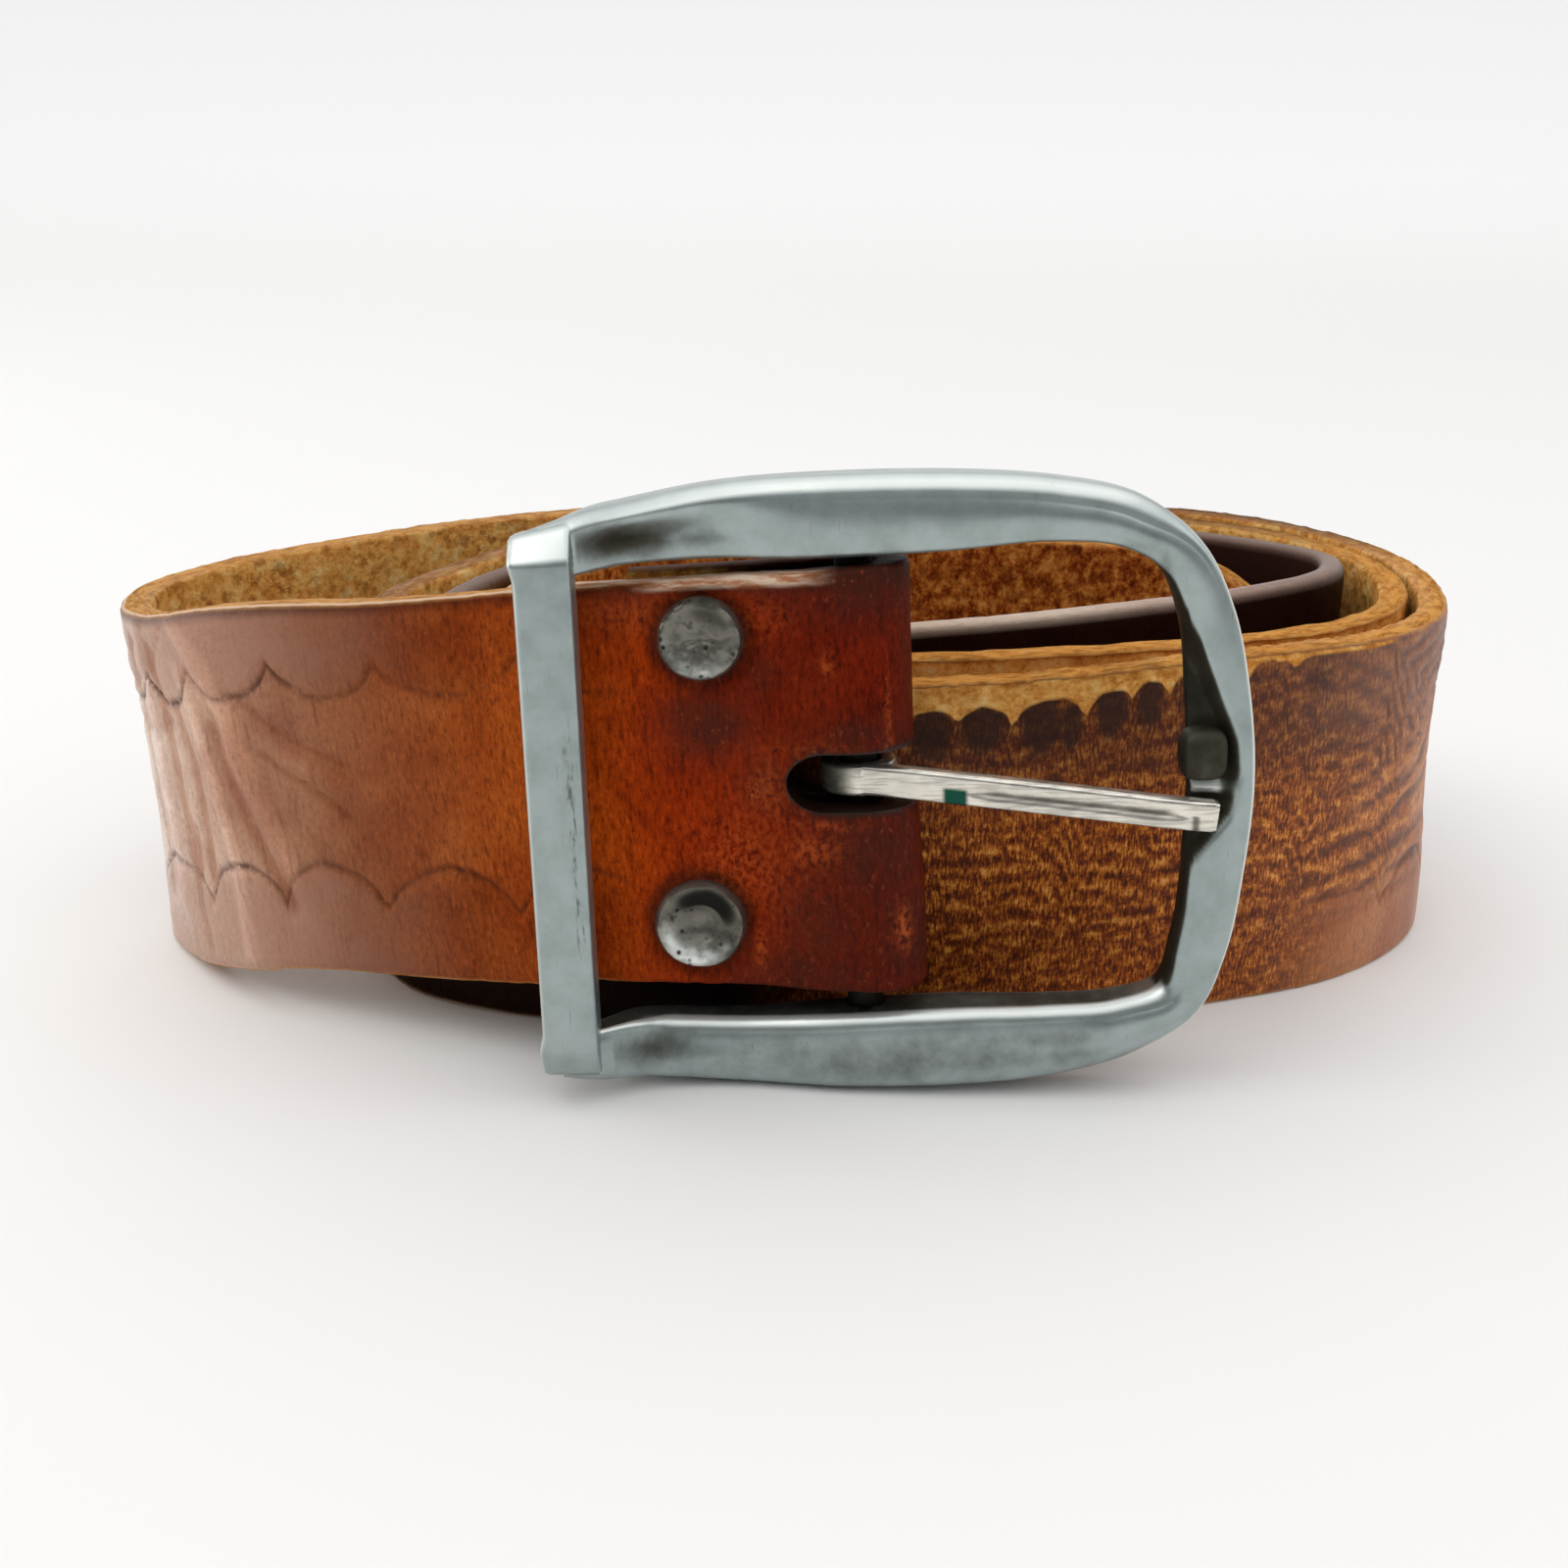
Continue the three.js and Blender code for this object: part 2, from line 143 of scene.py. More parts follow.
def lattice_noise(x: Array, y: Array, seed: int = 0) -> Array:
    """Smooth noise on a unit lattice.

    Args:
        x: first coordinate, one lattice cell to the unit.
        y: second coordinate.
        seed: picks another pattern.

    Returns:
        Values from -1 to 1.
    """
    left, low = np.floor(x).astype(np.int64), np.floor(y).astype(np.int64)
    u, v = x - left, y - low
    u, v = u * u * (3 - 2 * u), v * v * (3 - 2 * v)

    def corner(i: int, j: int) -> Array:
        """A value from -1 to 1 for one corner of each cell."""
        n = ((left + i) * 374761393 + (low + j) * 668265263 + seed * 974634777) & 0xFFFFFFFF
        n = ((n ^ (n >> 13)) * 1274126177) & 0xFFFFFFFF
        return ((n ^ (n >> 16)) & 0xFFFF) / 32767.5 - 1

    lower = corner(0, 0) * (1 - u) + corner(1, 0) * u
    upper = corner(0, 1) * (1 - u) + corner(1, 1) * u
    return lower * (1 - v) + upper * v


def rough_noise(x: Array, y: Array, seed: int = 0, layers: int = 3) -> Array:
    """Noise in layers, each twice as fine and about half as strong as the one before."""
    return sum(lattice_noise(x * 2**k, y * 2**k, seed + k) * 0.55**k for k in range(layers))


@dataclass(frozen=True)
class SmoothPath:
    """A smooth curve through rows of numbers, the same as the one the solids were drawn with.

    Attributes:
        rows: the points, one to a row.
        closed: joins the last row to the first.
        even: spaces the rows alike, and not by their distance.
    """

    rows: Array
    closed: bool = False
    even: bool = False

    def at(self, t: Array) -> tuple[Array, Array]:
        """Finds points on the curve.

        Args:
            t: row numbers, fractions included.

        Returns:
            The points there, and the curve's slope at each.
        """
        p = self.rows
        count = len(p)
        if self.closed:
            padded = np.vstack([p[-1], p, p[0], p[1]])
            i = np.floor(t).astype(int) % count
        else:
            padded = np.vstack([2 * p[0] - p[1], p, 2 * p[-1] - p[-2]])
            i = np.minimum(np.floor(t).astype(int), count - 2)
        u = (t - np.floor(t) if self.closed else t - i)[:, None]
        p0, p1, p2, p3 = (padded[i + k] for k in range(4))
        if self.even:
            t1, t2 = (p2 - p0) / 2, (p3 - p1) / 2
        else:
            spans = ((p0, p1), (p1, p2), (p2, p3))
            d0, d1, d2 = (np.linalg.norm(b - a, axis=1)[:, None] ** 0.5 for a, b in spans)
            t1 = ((p1 - p0) / d0 - (p2 - p0) / (d0 + d1) + (p2 - p1) / d1) * d1
            t2 = ((p2 - p1) / d1 - (p3 - p1) / (d1 + d2) + (p3 - p2) / d2) * d1
        square, cube = -3 * p1 + 3 * p2 - 2 * t1 - t2, 2 * p1 - 2 * p2 + t1 + t2
        return p1 + t1 * u + square * u**2 + cube * u**3, t1 + 2 * square * u + 3 * cube * u**2


@dataclass(frozen=True)
class BucklePlace:
    """The buckle's own axes: p to the right, d to the back and q up along its centre bar."""

    origin: tuple[float, float, float] = (4.3, -38.2, 29.0406)
    turn_deg: float = 3.0
    lean_deg: float = 4.0

    @property
    def axes(self) -> Array:
        """The directions of p, d and q as the columns of a matrix."""
        lean = Matrix.Rotation(-math.radians(self.lean_deg), 3, "X")
        turn = Matrix.Rotation(-math.radians(self.turn_deg), 3, "Y")
        return np.array(lean @ turn)

    def out(self, local: Array) -> Array:
        """Turns p, d, q in mm into x, y, z in mm."""
        return local @ self.axes.T + np.array(self.origin) + SHIFT

    def into(self, world: Array) -> Array:
        """Turns x, y, z in mm into p, d, q in mm."""
        return (world - SHIFT - np.array(self.origin)) @ self.axes

    @property
    def matrix(self) -> Matrix:
        """Places a mesh made in p, d, q metres."""
        turn = Matrix(self.axes.tolist()).to_4x4()
        return Matrix.Translation(Vector(np.array(self.origin) + SHIFT) * MM) @ turn


BUCKLE = BucklePlace()
RIVETS = {"rivet_upper": (-13.6, 15.0, 3.8), "rivet_lower": (-15.0, -11.5, 4.2)}


def add_object(name: str, data: bpy.types.ID) -> bpy.types.Object:
    """Makes an object at the origin and puts it in the scene."""
    made = bpy.data.objects.new(name, data)
    bpy.context.scene.collection.objects.link(made)
    return made


def read_points(mesh: bpy.types.Mesh, what: str = "co") -> Array:
    """The place of each point of a mesh, or its normal."""
    flat = np.zeros(len(mesh.vertices) * 3)
    mesh.vertices.foreach_get(what, flat)
    return flat.reshape(-1, 3)


def read_mark(mesh: bpy.types.Mesh, name: str) -> Array:
    """The number, or the three, that a mesh keeps at each point under a name."""
    kept = mesh.attributes[name]
    three = kept.data_type == "FLOAT_VECTOR"
    flat = np.zeros(len(kept.data) * (3 if three else 1))
    kept.data.foreach_get("vector" if three else "value", flat)
    return flat.reshape(-1, 3) if three else flat


def keep_mark(mesh: bpy.types.Mesh, name: str, values: Array) -> None:
    """Keeps a number, or three, at each point of a mesh under a name."""
    kind, part = ("FLOAT_VECTOR", "vector") if values.ndim == 2 else ("FLOAT", "value")
    kept = mesh.attributes.get(name) or mesh.attributes.new(name, kind, "POINT")
    kept.data.foreach_set(part, values.ravel())


def wrapped_grid(name: str, places: Array, marks: dict[str, Array] | None = None) -> bpy.types.Object:
    """Makes a tube from rings of points, whose first and last columns meet.

    Args:
        name: the piece's name.
        places: rings by columns by x, y, z, in metres.
        marks: numbers or vectors to keep at each point, by name.

    Returns:
        The piece, with its ends closed and its normals outward.
    """
    rings, columns = places.shape[:2]
    bm = bmesh.new()
    bmesh.ops.create_grid(bm, x_segments=columns - 1, y_segments=rings - 1, size=1)
    mesh = bpy.data.meshes.new(name)
    bm.to_mesh(mesh)
    bm.free()
    flat = read_points(mesh)
    order = np.lexsort((np.round(flat[:, 0] * columns * 4), np.round(flat[:, 1] * rings * 4)))
    coordinates = np.empty_like(flat)
    coordinates[order] = places.reshape(-1, 3)
    mesh.vertices.foreach_set("co", coordinates.ravel())
    for mark, values in (marks or {}).items():
        ordered = np.empty((len(flat), *values.shape[2:]))
        ordered[order] = values.reshape(ordered.shape)
        keep_mark(mesh, mark, ordered)
    bm = bmesh.new()
    bm.from_mesh(mesh)
    rim = [v for v in bm.verts if v.is_boundary]
    bmesh.ops.remove_doubles(bm, verts=rim, dist=1e-7)
    bmesh.ops.holes_fill(bm, edges=[e for e in bm.edges if e.is_boundary], sides=0)
    bmesh.ops.recalc_face_normals(bm, faces=bm.faces)
    bm.to_mesh(mesh)
    bm.free()
    return add_object(name, mesh)


def piece_from(bm: bmesh.types.BMesh, name: str) -> bpy.types.Object:
    """Turns a finished bmesh into a piece at the origin, normals outward."""
    bmesh.ops.recalc_face_normals(bm, faces=bm.faces)
    mesh = bpy.data.meshes.new(name)
    bm.to_mesh(mesh)
    bm.free()
    return add_object(name, mesh)


def mark_metal(piece: bpy.types.Object, **marks: Array) -> Array:
    """Keeps each point's place in the buckle's axes, and other numbers, such as its tarnishing with painted
    shade and its painted highlight.

    Args:
        piece: a finished mesh in the row frame.
        marks: numbers to keep at each point, by name.

    Returns:
        p, d, q of each point in mm.
    """
    local = BUCKLE.into(read_points(piece.data) / MM)
    for name, values in (("local", local * MM), *marks.items()):
        keep_mark(piece.data, name, values)
    return local


def combine(piece: bpy.types.Object, tool: bpy.types.Object, operation: str) -> None:
    """Cuts a tool from a piece or joins it on, and removes the tool.

    Args:
        piece: what is changed.
        tool: the solid that is cut away or joined.
        operation: DIFFERENCE or UNION.
    """
    modifier = piece.modifiers.new("combine", "BOOLEAN")
    modifier.operation = operation
    modifier.solver = "EXACT"
    modifier.object = tool
    graph = bpy.context.evaluated_depsgraph_get()
    changed = bpy.data.meshes.new_from_object(piece.evaluated_get(graph))
    old = piece.data
    piece.modifiers.remove(modifier)
    piece.data = changed
    changed.name = piece.name
    bpy.data.meshes.remove(old)
    bpy.data.objects.remove(tool)


def combine_local(piece: bpy.types.Object, bm: bmesh.types.BMesh, operation: str) -> None:
    """Cuts away or joins on a tool that was made in the buckle's own axes."""
    bmesh.ops.transform(bm, matrix=BUCKLE.matrix, verts=bm.verts)
    combine(piece, piece_from(bm, "tool"), operation)


def face_front(bm: bmesh.types.BMesh, *place: float) -> None:
    """Turns a mesh from upright to facing the front, and then moves it to its place, given in mm."""
    bmesh.ops.rotate(bm, verts=bm.verts, matrix=Matrix.Rotation(math.pi / 2, 3, "X"))
    bmesh.ops.translate(bm, verts=bm.verts, vec=[part * MM for part in place])


def spin(bm: bmesh.types.BMesh, geometry: list[object], steps: int) -> None:
    """Turns a line or a section about the z axis into a closed body."""
    bmesh.ops.spin(bm, geom=geometry, cent=(0, 0, 0), axis=(0, 0, 1), angle=2 * math.pi, steps=steps,
                   use_merge=True)
    bmesh.ops.remove_doubles(bm, verts=bm.verts, dist=1e-7)


def cylinder(radius: float, length: float, sides: int) -> bmesh.types.BMesh:
    """A cylinder round the z axis with its middle at the origin, its sizes given in mm."""
    bm = bmesh.new()
    bmesh.ops.create_cone(bm, cap_ends=True, segments=sides, radius1=radius * MM, radius2=radius * MM,
                          depth=length * MM)
    return bm


def directions(piece: bpy.types.Object) -> Array:
    """How far the normal of each point is to the right, to the back and up, in the buckle's axes."""
    return (read_points(piece.data, "normal") @ BUCKLE.axes).T


def finish_piece(piece: bpy.types.Object, body: Body, material: bpy.types.Material,
                 crease_deg: float) -> None:
    """Shades a piece, gives it its finish and ties it to its body.

    Args:
        piece: the finished mesh.
        body: the body it moves with.
        material: its finish.
        crease_deg: the angle from which an edge is sharp.
    """
    piece.data.shade_smooth()
    piece.data.set_sharp_from_angle(angle=math.radians(crease_deg))
    piece.data.materials.clear()
    piece.data.materials.append(material)
    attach(piece, body.value)
    LOG.info("%s: %d faces", piece.name, len(piece.data.polygons))


class Graph:
    """Builds the nodes of a material or of the world."""

    def __init__(self, owner: bpy.types.Material | bpy.types.World) -> None:
        """Starts from the nodes that Blender gives to a new owner."""
        owner.use_nodes = True
        self.owner = owner
        self.tree = owner.node_tree

    def node(self, kind: str, inputs: dict[str | int, object] | None = None,
             **settings: object) -> bpy.types.Node:
        """Adds a node, sets it and feeds its inputs, given by their names or numbers."""
        made = self.tree.nodes.new(kind)
        for key, value in settings.items():
            setattr(made, key, value)
        for key, value in (inputs or {}).items():
            self.feed(made.inputs[key], value)
        return made

    def feed(self, socket: bpy.types.NodeSocket, value: object) -> None:
        """Links another socket to this one, or sets it to a constant."""
        if isinstance(value, bpy.types.NodeSocket):
            self.tree.links.new(value, socket)
        elif isinstance(value, tuple) and socket.type == "RGBA":
            socket.default_value = (*value[:3], 1)
        else:
            socket.default_value = value

    def mark(self, name: str) -> bpy.types.NodeSocket:
        """A number kept at the mesh's points."""
        return self.node("ShaderNodeAttribute", attribute_name=name).outputs["Fac"]

    def place(self, name: str | None = None) -> bpy.types.NodeSocket:
        """A vector kept at the mesh's points, or else the place in the object, in mm."""
        if name is None:
            source = self.node("ShaderNodeTexCoord").outputs["Object"]
        else:
            source = self.node("ShaderNodeAttribute", attribute_name=name).outputs["Vector"]
        return self.stretch(source, (1000.0, 1000.0, 1000.0))

    def stretch(self, vector: object, by: tuple[float, float, float]) -> bpy.types.NodeSocket:
        """Multiplies a vector, each part by its own number."""
        return self.node("ShaderNodeVectorMath", {0: vector, 1: by}, operation="MULTIPLY").outputs[0]

    def parts(self, vector: object) -> tuple[bpy.types.NodeSocket, ...]:
        """A vector's three numbers."""
        return tuple(self.node("ShaderNodeSeparateXYZ", {0: vector}).outputs)

    def math(self, operation: str, *values: object) -> bpy.types.NodeSocket:
        """Arithmetic on one to three numbers."""
        return self.node("ShaderNodeMath", dict(enumerate(values)), operation=operation).outputs[0]

    def times(self, a: object, b: object) -> bpy.types.NodeSocket:
        """Two numbers multiplied."""
        return self.math("MULTIPLY", a, b)

    def plus(self, a: object, b: object) -> bpy.types.NodeSocket:
        """Two numbers added."""
        return self.math("ADD", a, b)

    def most(self, a: object, b: object) -> bpy.types.NodeSocket:
        """The larger of two numbers."""
        return self.math("MAXIMUM", a, b)

    def size_of(self, value: object) -> bpy.types.NodeSocket:
        """A number without its sign."""
        return self.math("ABSOLUTE", value)

    def scaled(self, value: object, by: object, more: object) -> bpy.types.NodeSocket:
        """A number multiplied by one number, with another added."""
        return self.math("MULTIPLY_ADD", value, by, more)

    def step(self, value: object, low: float, high: float) -> bpy.types.NodeSocket:
        """A soft ramp from 0 at low to 1 at high, and falling where low is the higher."""
        inputs = {"Value": value, "From Min": low, "From Max": high}
        return self.node("ShaderNodeMapRange", inputs, interpolation_type="SMOOTHSTEP").outputs["Result"]

    def span(self, value: object, low: float, high: float) -> bpy.types.NodeSocket:
        """Spreads 0 to 1 over low to high."""
        return self.scaled(value, high - low, low)

    def noise(self, vector: object, scale: float, detail: float = 3,
              rough: float = 0.5) -> bpy.types.NodeSocket:
        """Soft noise from 0 to 1."""
        inputs = {"Vector": vector, "Scale": scale, "Detail": detail, "Roughness": rough}
        return self.node("ShaderNodeTexNoise", inputs).outputs["Fac"]

    def cells(self, vector: object, scale: float) -> bpy.types.NodeSocket:
        """Distance inside irregular cells."""
        return self.node("ShaderNodeTexVoronoi", {"Vector": vector, "Scale": scale}).outputs["Distance"]

    def mix(self, factor: object, a: object, b: object, blend: str = "MIX") -> bpy.types.NodeSocket:
        """Goes from colour a to colour b."""
        inputs = {"Factor": factor, 6: a, 7: b}
        made = self.node("ShaderNodeMix", inputs, data_type="RGBA", blend_type=blend, clamp_factor=True)
        return made.outputs[2]

    def tint(self, colour: object, by: Colour) -> bpy.types.NodeSocket:
        """A colour multiplied by another one."""
        return self.mix(1.0, colour, by, "MULTIPLY")

    def blend(self, factor: object, a: object, b: object) -> bpy.types.NodeSocket:
        """Goes from number a to number b."""
        inputs = {"Factor": factor, 2: a, 3: b}
        return self.node("ShaderNodeMix", inputs, data_type="FLOAT", clamp_factor=True).outputs[0]

    def ramp(self, factor: object, stops: list[tuple[float, Colour]]) -> bpy.types.NodeSocket:
        """Colours along a scale.

        Args:
            factor: where on the scale, from 0 to 1.
            stops: places on the scale and their colours.

        Returns:
            The colour.
        """
        made = self.node("ShaderNodeValToRGB", {0: factor})
        elements = made.color_ramp.elements
        while len(elements) < len(stops):
            elements.new(0.5)
        for element, (position, _) in zip(elements, stops):
            element.position = position
        for element, (_, colour) in zip(elements, stops):
            element.color = (*colour, 1)
        return made.outputs[0]

    def bump(self, height: object, distance_mm: float, strength: float = 1.0) -> bpy.types.NodeSocket:
        """Fine relief: a height of 1 stands for the distance."""
        inputs = {"Height": height, "Distance": distance_mm * MM, "Strength": strength}
        return self.node("ShaderNodeBump", inputs).outputs["Normal"]

    def shade(self, **inputs: object) -> bpy.types.Material:
        """Feeds the shader, by the names of its inputs with _ for a space.

        Args:
            inputs: sockets or constants.

        Returns:
            The finished material.
        """
        for name, value in inputs.items():
            self.feed(self.tree.nodes["Principled BSDF"].inputs[name.replace("_", " ")], value)
        return self.owner


@dataclass(frozen=True)
class Stretch:
    """A stretch of the strap where something comes in and fades out again, in mm from the fold."""

    start: float
    full: float
    fading: float
    end: float
    amount: float = 1.0

    def at(self, along: Array) -> Array:
        """How much of it there is at places along the strap."""
        arrived = self.amount * smooth_step(along, self.start, self.full)
        return arrived * (1 - smooth_step(along, self.fading, self.end))


# Where on the strap the dark lobes begin, in mm from the fold
LOBES_FROM = 320.0


@dataclass(frozen=True)
class Stain:
    """A soft spot, dyed, tarnished or worn, in mm along and up its piece; on the frame some spots are painted
    shade.
    """

    along: float
    up: float
    wide: float
    tall: float
    strength: float

    def spread(self, along: Array, up: Array) -> Array:
        """How strong the spot is at points. The lobes, far along the strap, have a sharper rim."""
        away = ((along - self.along) / self.wide) ** 2 + ((up - self.up) / self.tall) ** 2
        hardness = 1.0 if self.along < LOBES_FROM else 1.4
        return self.strength * np.exp(-(away**hardness))


@dataclass(frozen=True)
class Crease:
    """A soft fold pressed into the leather along a line, in mm. A negative depth is a ridge."""

    line: tuple[tuple[float, float], ...]
    width: float
    depth: float


# Dark dye on the grain side: the plum shades of the buckle's end first, then the lobes at the right
STAINS = (
    Stain(6.0, 18, 8, 3.8, 0.85), Stain(14, 19, 11, 2.4, 0.6), Stain(2.0, 9, 2.4, 9, 0.4),
    Stain(21.4, 5.8, 4.6, 3.8, 0.95), Stain(16.6, 10.2, 2.2, 2.8, 0.55), Stain(8.0, 4.7, 3.6, 1.5, 0.85),
    Stain(14.0, -16.8, 2.6, 2.2, 0.95), Stain(7.6, -6.0, 2.4, 3.2, 0.95), Stain(27.6, 17.0, 4.6, 2.6, 0.6),
    Stain(7.0, -6, 6.5, 6.5, 0.85), Stain(4, -14, 6, 6.5, 0.8), Stain(12, -13, 4.5, 7, 0.7),
    Stain(13, -18, 12, 4.0, 0.7),
    Stain(7, 4, 9, 3.0, 0.55), Stain(16.5, 0.3, 3.0, 3.2, 0.6), Stain(13, 10, 5, 4, 0.2),
    Stain(369.4, 13.0, 2.6, 3.6, 1.0), Stain(364.3, 13.4, 2.9, 3.4, 1.0), Stain(358.6, 13.6, 2.4, 4.2, 1.0),
    Stain(355.6, 13.0, 1.4, 3.6, 0.9), Stain(351.6, 14.6, 2.1, 3.8, 0.95), Stain(347.7, 15.2, 1.8, 3.8, 0.9),
    Stain(343.0, 15.6, 2.2, 3.0, 0.7), Stain(337.0, 16.0, 2.4, 2.6, 0.5), Stain(329.0, 15.8, 2.4, 3.4, 0.6),
    Stain(366, 9.0, 9, 3.5, 0.5), Stain(324.0, 15.0, 4, 3, 0.3), Stain(372, -12, 6, 9, 0.45),
    Stain(352, -10, 9, 5, 0.25), Stain(344, -1, 5, 9, 0.2),
)
# The dark lobes under the worn top: where along the strap, and half their width
LOBES = (
    (374.6, 2.2), (369.4, 2.7), (364.3, 2.6), (357.8, 3.3), (351.6, 2.2), (347.7, 1.9), (343.6, 2.0),
    (339.4, 2.2), (334.6, 2.4), (329.0, 2.2), (324.6, 2.2), (380.0, 3.0), (386.0, 3.0), (392.0, 3.0),
    (398.0, 3.0),
)
# Scratches and rubbed places near the buckle
PALE_MARKS = (
    Stain(17.6, -15.2, 0.5, 1.9, 0.6), Stain(4.9, -13.4, 0.8, 1.8, 0.8), Stain(10.5, 11, 0.6, 1.0, 0.5),
    Stain(17.6, -0.5, 0.5, 1.0, 0.7), Stain(5.2, 6, 0.35, 3.4, 0.4), Stain(12, 3.6, 4, 0.35, 0.4),
    Stain(12, -3.6, 3.2, 0.35, 0.45), Stain(19, -7, 4.5, 4.5, 0.4), Stain(16.4, -0.6, 1.8, 3.4, 0.34),
    Stain(12.8, -5.9, 2.4, 1.4, 0.5), Stain(28.5, 16.2, 4.5, 1.5, 0.3), Stain(16.4, 15.4, 3.0, 2.0, 0.25),
)
# Folds of the bent leather, nearly all at the left end
CREASES = (
    Crease(((70.2, 9.6), (65.5, 6.2), (61.0, 3.4), (57.5, 2.0)), 0.6, 0.26),
    Crease(((68.6, 4.2), (64.5, 1.4), (61.8, -0.2), (58.4, -2.8)), 0.6, 0.28),
    Crease(((73.4, 6.2), (71.8, -1.5), (70.0, -6.8), (67.6, -12.0)), 1.1, 0.34),
    Crease(((80.4, 9.0), (78.6, 2.5), (79.4, -5.0), (80.6, -9.0)), 0.9, 0.30),
    Crease(((75.6, 18.6), (73.2, 13.5), (70.8, 7.8), (69.4, 2.0)), 1.5, -0.42),
    Crease(((71.6, 3.5), (68.4, -2.5), (66.2, -8.2)), 1.6, -0.26),
    Crease(((76.6, 12.0), (75.2, 3.0), (74.8, -8.0), (76.2, -17.0)), 1.3, -0.34),
    Crease(((84.5, 15.0), (83.2, 4.0), (83.6, -8.0)), 1.2, 0.32),
    Crease(((87.4, 17.0), (86.6, 4.0), (87.6, -12.0)), 1.2, -0.30),
    Crease(((64.5, 3.2), (60.0, 0.9), (54.0, -0.4)), 1.3, -0.20),
    Crease(((90.5, 16.0), (91.2, 2.0), (91.0, -12.0)), 1.1, 0.26),
    Crease(((79.0, 17.5), (83.0, 14.0), (88.0, 11.8), (94.0, 11.0)), 0.6, 0.22),
    Crease(((84.0, 18.4), (88.5, 15.6), (94.0, 14.4)), 0.6, 0.20),
    Crease(((82.0, 7.4), (87.0, 6.2), (93.0, 6.6)), 0.6, 0.20),
    Crease(((95.0, 16.0), (94.4, 8.0), (95.6, 0.0)), 0.8, 0.24),
    Crease(((81.6, -4.0), (84.0, -10.0), (83.6, -17.0)), 0.8, 0.22),
    Crease(((333.0, -13.2), (318.0, -11.2), (304.0, -10.4)), 1.1, 0.2),
)
# Dark spots on the buckle frame, by p and q: tarnishing in the hollows, and painted shade along the top arm's
# inner edge and over the lower arm
FRAME_STAINS = (
    Stain(-20.0, 23.8, 6.0, 1.9, 1.0), Stain(-13.5, 23.6, 5, 1.3, 0.6), Stain(-20.2, -23.6, 5.2, 2.4, 0.8),
    Stain(26.6, 17, 1.0, 6, 0.6), Stain(8, 21.7, 20, 0.6, 0.6), Stain(4, -25.4, 30, 3.6, 0.52),
    Stain(17, -23.9, 8, 1.5, 0.6),
)
# By the distance along the strap: how far its upper edge sags, where the worn top begins, and how far the
# fine waves climb
SAG = (
    (8, 0), (14, -0.35), (24, -0.5), (33, -0.5), (42, -0.8), (52, -1.0), (72, -1.0), (86, -0.6), (98, 0),
    (335, 0), (345, -0.25), (352, -0.7), (360, -1.1), (370, -1.35), (385, -1.35), (400, -0.6), (410, 0),
)
WORN_LINE = (
    (318, 18.9), (322, 18.8), (331, 18.3), (338, 18.0), (347.7, 17.3), (351.5, 16.8), (357.8, 16.4),
    (364.3, 15.8), (369.4, 15.4), (380, 15.0), (400, 15.0),
)
WAVE_RISE = ((286, 7.4), (304, 6.5), (318, 4.2), (326, 1.9), (334, 0.5), (345, 0), (400, -0.6))
# By q: how far over the right bar's width the tongue's hollow reaches
SEAT_EDGE = (
    (-20, -1.6), (-8, -0.9), (-5, -0.15), (-3, 0.4), (1, 0.7), (4, 0.62), (8, 0.15), (12, -0.3), (17, -0.8),
    (22, -1.6),
)
# Depths of the ridge that runs on from the keeper bar, every 4 mm from p = -28
RIDGE_DEPTHS = (-6.3, -6.9, -6.3, -5.4, -4.8, -4.45, -4.3, -4.3)


def strongest(spots: tuple[Stain, ...], along: Array, up: Array) -> Array:
    """How strong the strongest of several spots is at points."""
    return np.max([spot.spread(along, up) for spot in spots], axis=0)


def line_distance(along: Array, up: Array, line: tuple[tuple[float, float], ...]) -> Array:
    """Distance from points on the strap to a line of straight steps, in mm."""
    nearest = np.full(along.shape, 1e3)
    for (x0, y0), (x1, y1) in zip(line, line[1:]):
        dx, dy = x1 - x0, y1 - y0
        t = np.clip(((along - x0) * dx + (up - y0) * dy) / (dx * dx + dy * dy), 0, 1)
        nearest = np.minimum(nearest, np.hypot(along - x0 - t * dx, up - y0 - t * dy))
    return nearest


